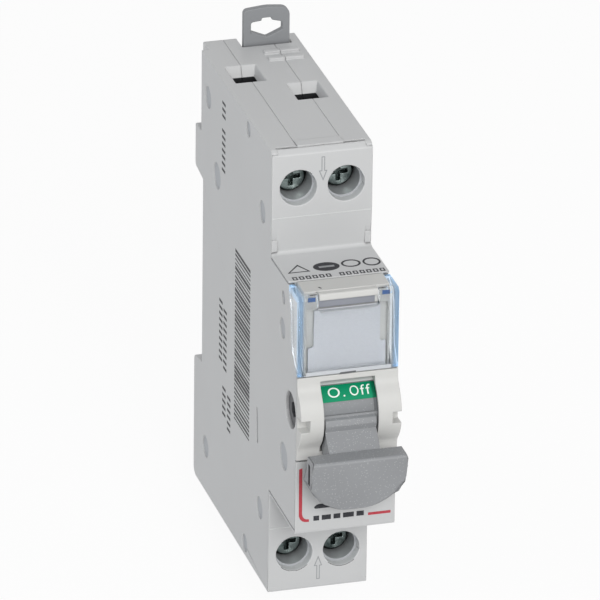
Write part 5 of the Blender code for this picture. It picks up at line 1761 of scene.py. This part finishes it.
@dataclass
class Drive:
    """The rotor, link, pins and moving contacts inside the casing."""

    finishes: Finishes
    edge: float = 0.0001
    contact_edge: float = 0.00008

    def build(self) -> None:
        """Show the inner pieces."""
        parts = (("contact_rotor", Body.ROTOR, "rotor", self.finishes.rotor, self.edge),
                 ("link_bar", Body.LINK, "zinc_steel", self.finishes.zinc, self.edge),
                 ("front_link_pin", Body.LINK, "pin_steel", self.finishes.pin, self.edge),
                 ("rear_link_pin", Body.LINK, "pin_steel", self.finishes.pin, self.edge),
                 ("moving_contact_left", Body.ROTOR, "copper", self.finishes.copper, self.contact_edge),
                 ("moving_contact_right", Body.ROTOR, "copper", self.finishes.copper, self.contact_edge))
        for node, body, slot, finish, edge in parts:
            SmoothedNode(node, body.value, slot, finish, edge=edge).build()


@dataclass
class Claws:
    """The two sliding rail claws."""

    finishes: Finishes
    edge: float = 0.0002

    def build(self) -> None:
        """Show both claws."""
        for body in (Body.UPPER_CLAW, Body.LOWER_CLAW):
            SmoothedNode(body.value, body.value, "claw", self.finishes.claw, edge=self.edge).build()


@dataclass
class Prints:
    """Printed marks on the casing: bars, arrows, plain badges and the red line, and pale strips of painted
    highlight on the shoulders' taper ridges.
    """

    finishes: Finishes
    wall: float = -0.00885
    shoulder: float = -0.0443
    nose_top: float = 0.0224
    plate: float = -0.0607
    lift: float = 0.00002
    field_top: Flat = (-0.0264, 0.0136)
    field_bars: int = 40
    field_step: float = 0.00082
    field_length: float = 0.0097
    field_thin: float = 0.28
    field_thick: float = 0.80
    field_seed: int = 7
    arrow_outer_mm: tuple[Flat, ...] = ((-0.2, 39.9), (0.4, 39.9), (0.4, 37.35), (0.82, 37.35),
                                        (0.1, 35.4), (-0.67, 37.35), (-0.2, 37.35))
    arrow_inner_mm: tuple[Flat, ...] = ((-0.06, 39.76), (0.26, 39.76), (0.26, 37.21), (0.60, 37.21),
                                        (0.1, 35.85), (-0.45, 37.21), (-0.06, 37.21))
    triangle: tuple[Flat, ...] = ((-0.0081, -0.0519), (-0.0041, -0.0519), (-0.0056, -0.0488))
    ovals: tuple[tuple[str, Flat, float, float], ...] = (("ellipse", (-0.0010, -0.0507), 0.0023, 0.74),
                                                         ("oblong", (0.0034, -0.0504), 0.0017, 0.86),
                                                         ("circle", (0.0070, -0.0506), 0.00155, 1.05))
    badge_bar: Bounds = (-0.0023, -0.0510, 0.0004, -0.0504)
    badge_hole: Flat = (0.78, 0.74)
    box_start: Flat = (-0.0079, -0.0548)
    box_step: float = 0.00118
    box_size: Flat = (0.00085, 0.00125)
    box_stroke: float = 0.00024
    box_places: tuple[int, ...] = (0, 1, 2, 3, 4, 5, 7, 8, 9, 10, 11, 12, 13)
    plate_bar_start: float = -0.0056
    plate_bar_height: Flat = (-0.0202, -0.0193)
    plate_bar_gap: float = 0.00048
    plate_bar_widths: tuple[float, ...] = (0.0010, 0.0016, 0.0012, 0.0019, 0.0013)
    tick: tuple[Flat, ...] = ((-0.0044, -0.0590), (-0.0041, -0.0590), (-0.0044, -0.0584),
                              (-0.0047, -0.0584))
    side_columns: tuple[tuple[float, float, int], ...] = (
        (-0.0114, 0.0, 10), (-0.0142, -0.0008, 10), (-0.0138, -0.0158, 5), (-0.0170, -0.0162, 6),
        (-0.0124, 0.0378, 3), (-0.0124, 0.0326, 7))
    side_bar: Flat = (0.0021, 0.0005)
    side_step: float = 0.00122
    ridge_half: Flat = (0.0087, 0.00008)
    ridge_height: float = 0.02925
    red_line_mm: tuple[Flat, ...] = ((-8.25, -10.2), (-7.65, -10.0), (-7.62, -18.7), (-7.5, -19.2),
                                     (-7.2, -19.6), (-6.9, -19.75), (-6.4, -19.8), (-6.4, -20.3),
                                     (-7.1, -20.25), (-7.6, -20.05), (-8.0, -19.6), (-8.2, -19.0))
    red_dash_mm: tuple[Flat, ...] = ((4.07, -20.3), (8.06, -20.3), (8.06, -19.8), (4.07, -19.8))
    pill_mm: tuple[Flat, ...] = ((-5.25, -17.95), (-2.0, -17.95), (-2.0, -17.1), (-4.6, -17.1),
                                 (-5.1, -17.25), (-5.45, -17.55), (-5.5, -17.8))
    bars: Recipe = field(default_factory=bars_recipe)

    def on_side(self, y: float, z: float, lift: float) -> Point:
        """Place a point on the left side wall."""
        return (self.wall - lift, y, z)

    def on_nose(self, x: float, y: float, lift: float) -> Point:
        """Place a point on the top face of the nose."""
        return (x, y, self.nose_top + lift)

    def on_shoulder(self, x: float, z: float, lift: float) -> Point:
        """Place a point on the shoulder's front face."""
        return (x, self.shoulder - lift, z)

    def on_plate(self, x: float, z: float, lift: float) -> Point:
        """Place a point on the front plate."""
        return (x, self.plate - lift, z)

    def press(self, name: str, mesh: bpy.types.Mesh, ink: bpy.types.Material, slot: str = "casing") -> None:
        """Put a print on the casing."""
        place_mesh(name, mesh, ink, Body.CASING.value, slot)

    def bar_field(self) -> None:
        """Print the field of bars on the left side."""
        mesh = self.bars.run(Count=self.field_bars, Step=self.field_step, Length=self.field_length,
                             Thin=self.field_thin, Thick=self.field_thick, Lift=self.lift * 2,
                             Seed=self.field_seed, Finish=self.finishes.dark)
        mesh.transform(Matrix.Translation((self.wall, *self.field_top)))
        self.press("side_bars_0", mesh, self.finishes.dark)

    def arrow(self, end: End) -> None:
        """Print one outline arrow on a shoulder.

        Args:
            end: The upper or the lower end.
        """
        outer, inner = ([(u * MM, end.value * v * MM) for u, v in outline]
                        for outline in (self.arrow_outer_mm, self.arrow_inner_mm))
        mesh = ring_plate(outer, inner, self.on_shoulder, self.lift)
        self.press(f"{end.name.lower()}_arrow", mesh, self.finishes.pale)

    def badges(self) -> None:
        """Print four plain badges on the nose top."""
        outlines = {"triangle": self.triangle}
        outlines |= {kind: oval(centre, radius, squash) for kind, centre, radius, squash in self.ovals}
        for kind, outer in outlines.items():
            if kind == "ellipse":
                mesh = plate_mesh([outer], self.on_nose, self.lift)
            else:
                mesh = ring_plate(outer, shrunk(outer, *self.badge_hole), self.on_nose, self.lift)
            self.press(f"nose_badge_{kind}", mesh, self.finishes.dark)
        mesh = plate_mesh([rectangle(*self.badge_bar)], self.on_nose, self.lift * 2)
        self.press("nose_badge_bar", mesh, self.finishes.pale)

    def nose_boxes(self) -> None:
        """Print a row of small open boxes on the nose top."""
        work = bmesh.new()
        width, height = self.box_size
        stroke = self.box_stroke
        for number in self.box_places:
            left = self.box_start[0] + self.box_step * number
            foot = self.box_start[1]
            outer = rectangle(left, foot, left + width, foot + height)
            inner = rectangle(left + stroke, foot + stroke, left + width - stroke, foot + height - stroke)
            box = ring_plate(outer, inner, self.on_nose, self.lift)
            work.from_mesh(box)
            bpy.data.meshes.remove(box)
        self.press("nose_boxes", mesh_of(work, "nose_boxes"), self.finishes.dark)

    def plain_bars(self) -> None:
        """Print the plain bars on the plate and on the side, and the tick on the strip."""
        start = self.plate_bar_start
        foot, head = self.plate_bar_height
        bars = []
        for width in self.plate_bar_widths:
            bars.append(rectangle(start, foot, start + width, head))
            start += width + self.plate_bar_gap
        self.press("plate_bars", plate_mesh(bars, self.on_plate, self.lift), self.finishes.dark)
        tick = plate_mesh([self.tick], self.on_nose, self.lift)
        self.press("strip_tick", tick, self.finishes.dark, "bezel")
        length, thickness = self.side_bar
        for number, (front, top, count) in enumerate(self.side_columns):
            heads = [top - self.side_step * place for place in range(count)]
            bars = [rectangle(front, head, front - length, head - thickness) for head in heads]
            mesh = plate_mesh(bars, self.on_side, self.lift)
            self.press(f"side_marks_{number}", mesh, self.finishes.dark)

    def taper_highlight(self, end: End) -> None:
        """Paint a thin pale strip of painted highlight along the fine ridge where a shoulder starts to taper.

        Args:
            end: The upper or the lower end.
        """
        across, up = self.ridge_half
        height = end.value * self.ridge_height
        line = rectangle(-across, height - up, across, height + up)
        mesh = plate_mesh([line], self.on_shoulder, self.lift)
        self.press(f"{end.name.lower()}_taper_ridge", mesh, self.finishes.rim)

    def plate_marks(self) -> None:
        """Print the red line, the red dash and the dark pill on the plate."""
        marks = (("red_line", self.red_line_mm, self.finishes.red),
                 ("red_dash", self.red_dash_mm, self.finishes.red),
                 ("plate_pill", self.pill_mm, self.finishes.dark))
        for name, outline, ink in marks:
            mesh = plate_mesh([[(u * MM, v * MM) for u, v in outline]], self.on_plate, self.lift)
            self.press(name, mesh, ink)

    def build(self) -> None:
        """Print everything."""
        self.bar_field()
        for end in End:
            self.arrow(end)
        self.badges()
        self.nose_boxes()
        self.plain_bars()
        for end in End:
            self.taper_highlight(end)
        self.plate_marks()


@dataclass
class Studio:
    """Floor, lights, world and camera."""

    azimuth: float = -16.04
    elevation: float = 24.76
    roll: float = 0.68
    distance: float = 1.4810
    lens: float = 513.996
    sensor: float = 36.0
    clip: Flat = (0.05, 20.0)
    across: float = 0.00176
    up: float = 0.00417
    pivot: Point = (0.0, -0.025, 0.0)
    aim: Point = (0.0, -0.03, 0.0)
    floor_height: float = -0.0486
    floor_size: float = 3.0
    floor_tones: Flat = (0.93, 0.96)
    floor_glow: float = 0.93
    world_strength: float = 0.46
    lamps: tuple[tuple[str, Point, float, float, Colour], ...] = (
        ("key", (-0.08, -1.25, 0.64), 0.5, 10.1, (1.0, 0.995, 0.98)),
        ("left_fill", (-1.1, -0.3, 0.5), 0.8, 1.7, (0.88, 0.94, 1.0)))

    def camera(self) -> None:
        """Place the camera at the photograph's viewing angle."""
        azimuth = math.radians(self.azimuth)
        elevation = math.radians(self.elevation)
        back = Vector((math.sin(azimuth) * math.cos(elevation), -math.cos(azimuth) * math.cos(elevation),
                       math.sin(elevation)))
        right = Vector((0.0, 0.0, 1.0)).cross(back).normalized()
        over = back.cross(right)
        turn = math.radians(self.roll)
        side = right * math.cos(turn) + over * math.sin(turn)
        top = over * math.cos(turn) - right * math.sin(turn)
        target = Vector(self.pivot) + right * self.across + over * self.up
        data = bpy.data.cameras.new("camera")
        data.lens = self.lens
        data.sensor_width = self.sensor
        data.clip_start, data.clip_end = self.clip
        camera = bpy.data.objects.new("camera", data)
        axes = Matrix((side, top, back)).transposed().to_4x4()
        camera.matrix_world = Matrix.Translation(target + back * self.distance) @ axes
        bpy.context.scene.collection.objects.link(camera)
        bpy.context.scene.camera = camera

    def floor(self) -> None:
        """Lay the pale floor under the switch."""
        work = bmesh.new()
        bmesh.ops.create_grid(work, x_segments=1, y_segments=1, size=self.floor_size)
        bmesh.ops.translate(work, vec=(0.0, 0.0, self.floor_height), verts=work.verts)
        mesh = mesh_of(work, "floor")
        floor = bpy.data.objects.new("floor", mesh)
        bpy.context.scene.collection.objects.link(floor)
        made, graph, shader = new_material("floor_white")
        tone = graph.add("ShaderNodeTexNoise", {"Vector": object_place(graph), "Scale": 3.0, "Detail": 2.0})
        darker, lighter = (rgba((grey, grey, grey)) for grey in self.floor_tones)
        graph.set(shader, {"Base Color": graph.mix(tone.outputs[0], darker, lighter), "Roughness": 0.9,
                           "Specular IOR Level": 0.0})
        white = graph.add("ShaderNodeEmission", {"Color": (1.0, 1.0, 1.0, 1.0), "Strength": 1.0})
        share = graph.math("MULTIPLY", graph.seen_plainly(), self.floor_glow)
        mixed = graph.add("ShaderNodeMixShader", {0: share, 1: shader.outputs[0], 2: white.outputs[0]})
        graph.feed(mixed.outputs[0], made.node_tree.nodes["Material Output"].inputs["Surface"])
        mesh.materials.append(made)

    def world(self) -> None:
        """Fill the world with plain soft light and a white background."""
        world = bpy.data.worlds.new("studio")
        bpy.context.scene.world = world
        world.use_nodes = True
        graph = Graph(world.node_tree)
        background = world.node_tree.nodes["Background"]
        strength = graph.remap(graph.seen_plainly(), 0.0, 1.0, self.world_strength, 1.0)
        graph.set(background, {"Strength": strength, "Color": (1.0, 1.0, 1.0, 1.0)})

    def lamp(self, name: str, place: Point, size: float, power: float, tint: Colour) -> None:
        """Hang one soft square lamp that looks at the switch.

        Args:
            name: The lamp's name.
            place: Where it hangs.
            size: Its edge length.
            power: Its power in watts.
            tint: Its colour.
        """
        data = bpy.data.lights.new(name, "AREA")
        data.shape = "SQUARE"
        data.size = size
        data.energy = power
        data.color = tint
        lamp = bpy.data.objects.new(name, data)
        turn = (Vector(self.aim) - Vector(place)).to_track_quat("-Z", "Y")
        lamp.matrix_world = Matrix.Translation(place) @ turn.to_matrix().to_4x4()
        bpy.context.scene.collection.objects.link(lamp)

    def build(self) -> None:
        """Set up the whole studio."""
        self.camera()
        self.floor()
        self.world()
        for lamp in self.lamps:
            self.lamp(*lamp)
        bpy.context.scene.view_settings.view_transform = "Standard"


def main() -> None:
    """Build every sub-assembly in order."""
    finishes = Finishes()
    Studio().build()
    Casing(finishes).build()
    Bezel(finishes).build()
    LabelHolder(finishes).build()
    Toggle(finishes).build()
    Terminals(finishes).build()
    Drive(finishes).build()
    Claws(finishes).build()
    Prints(finishes).build()


if __name__ == "__main__":
    main()
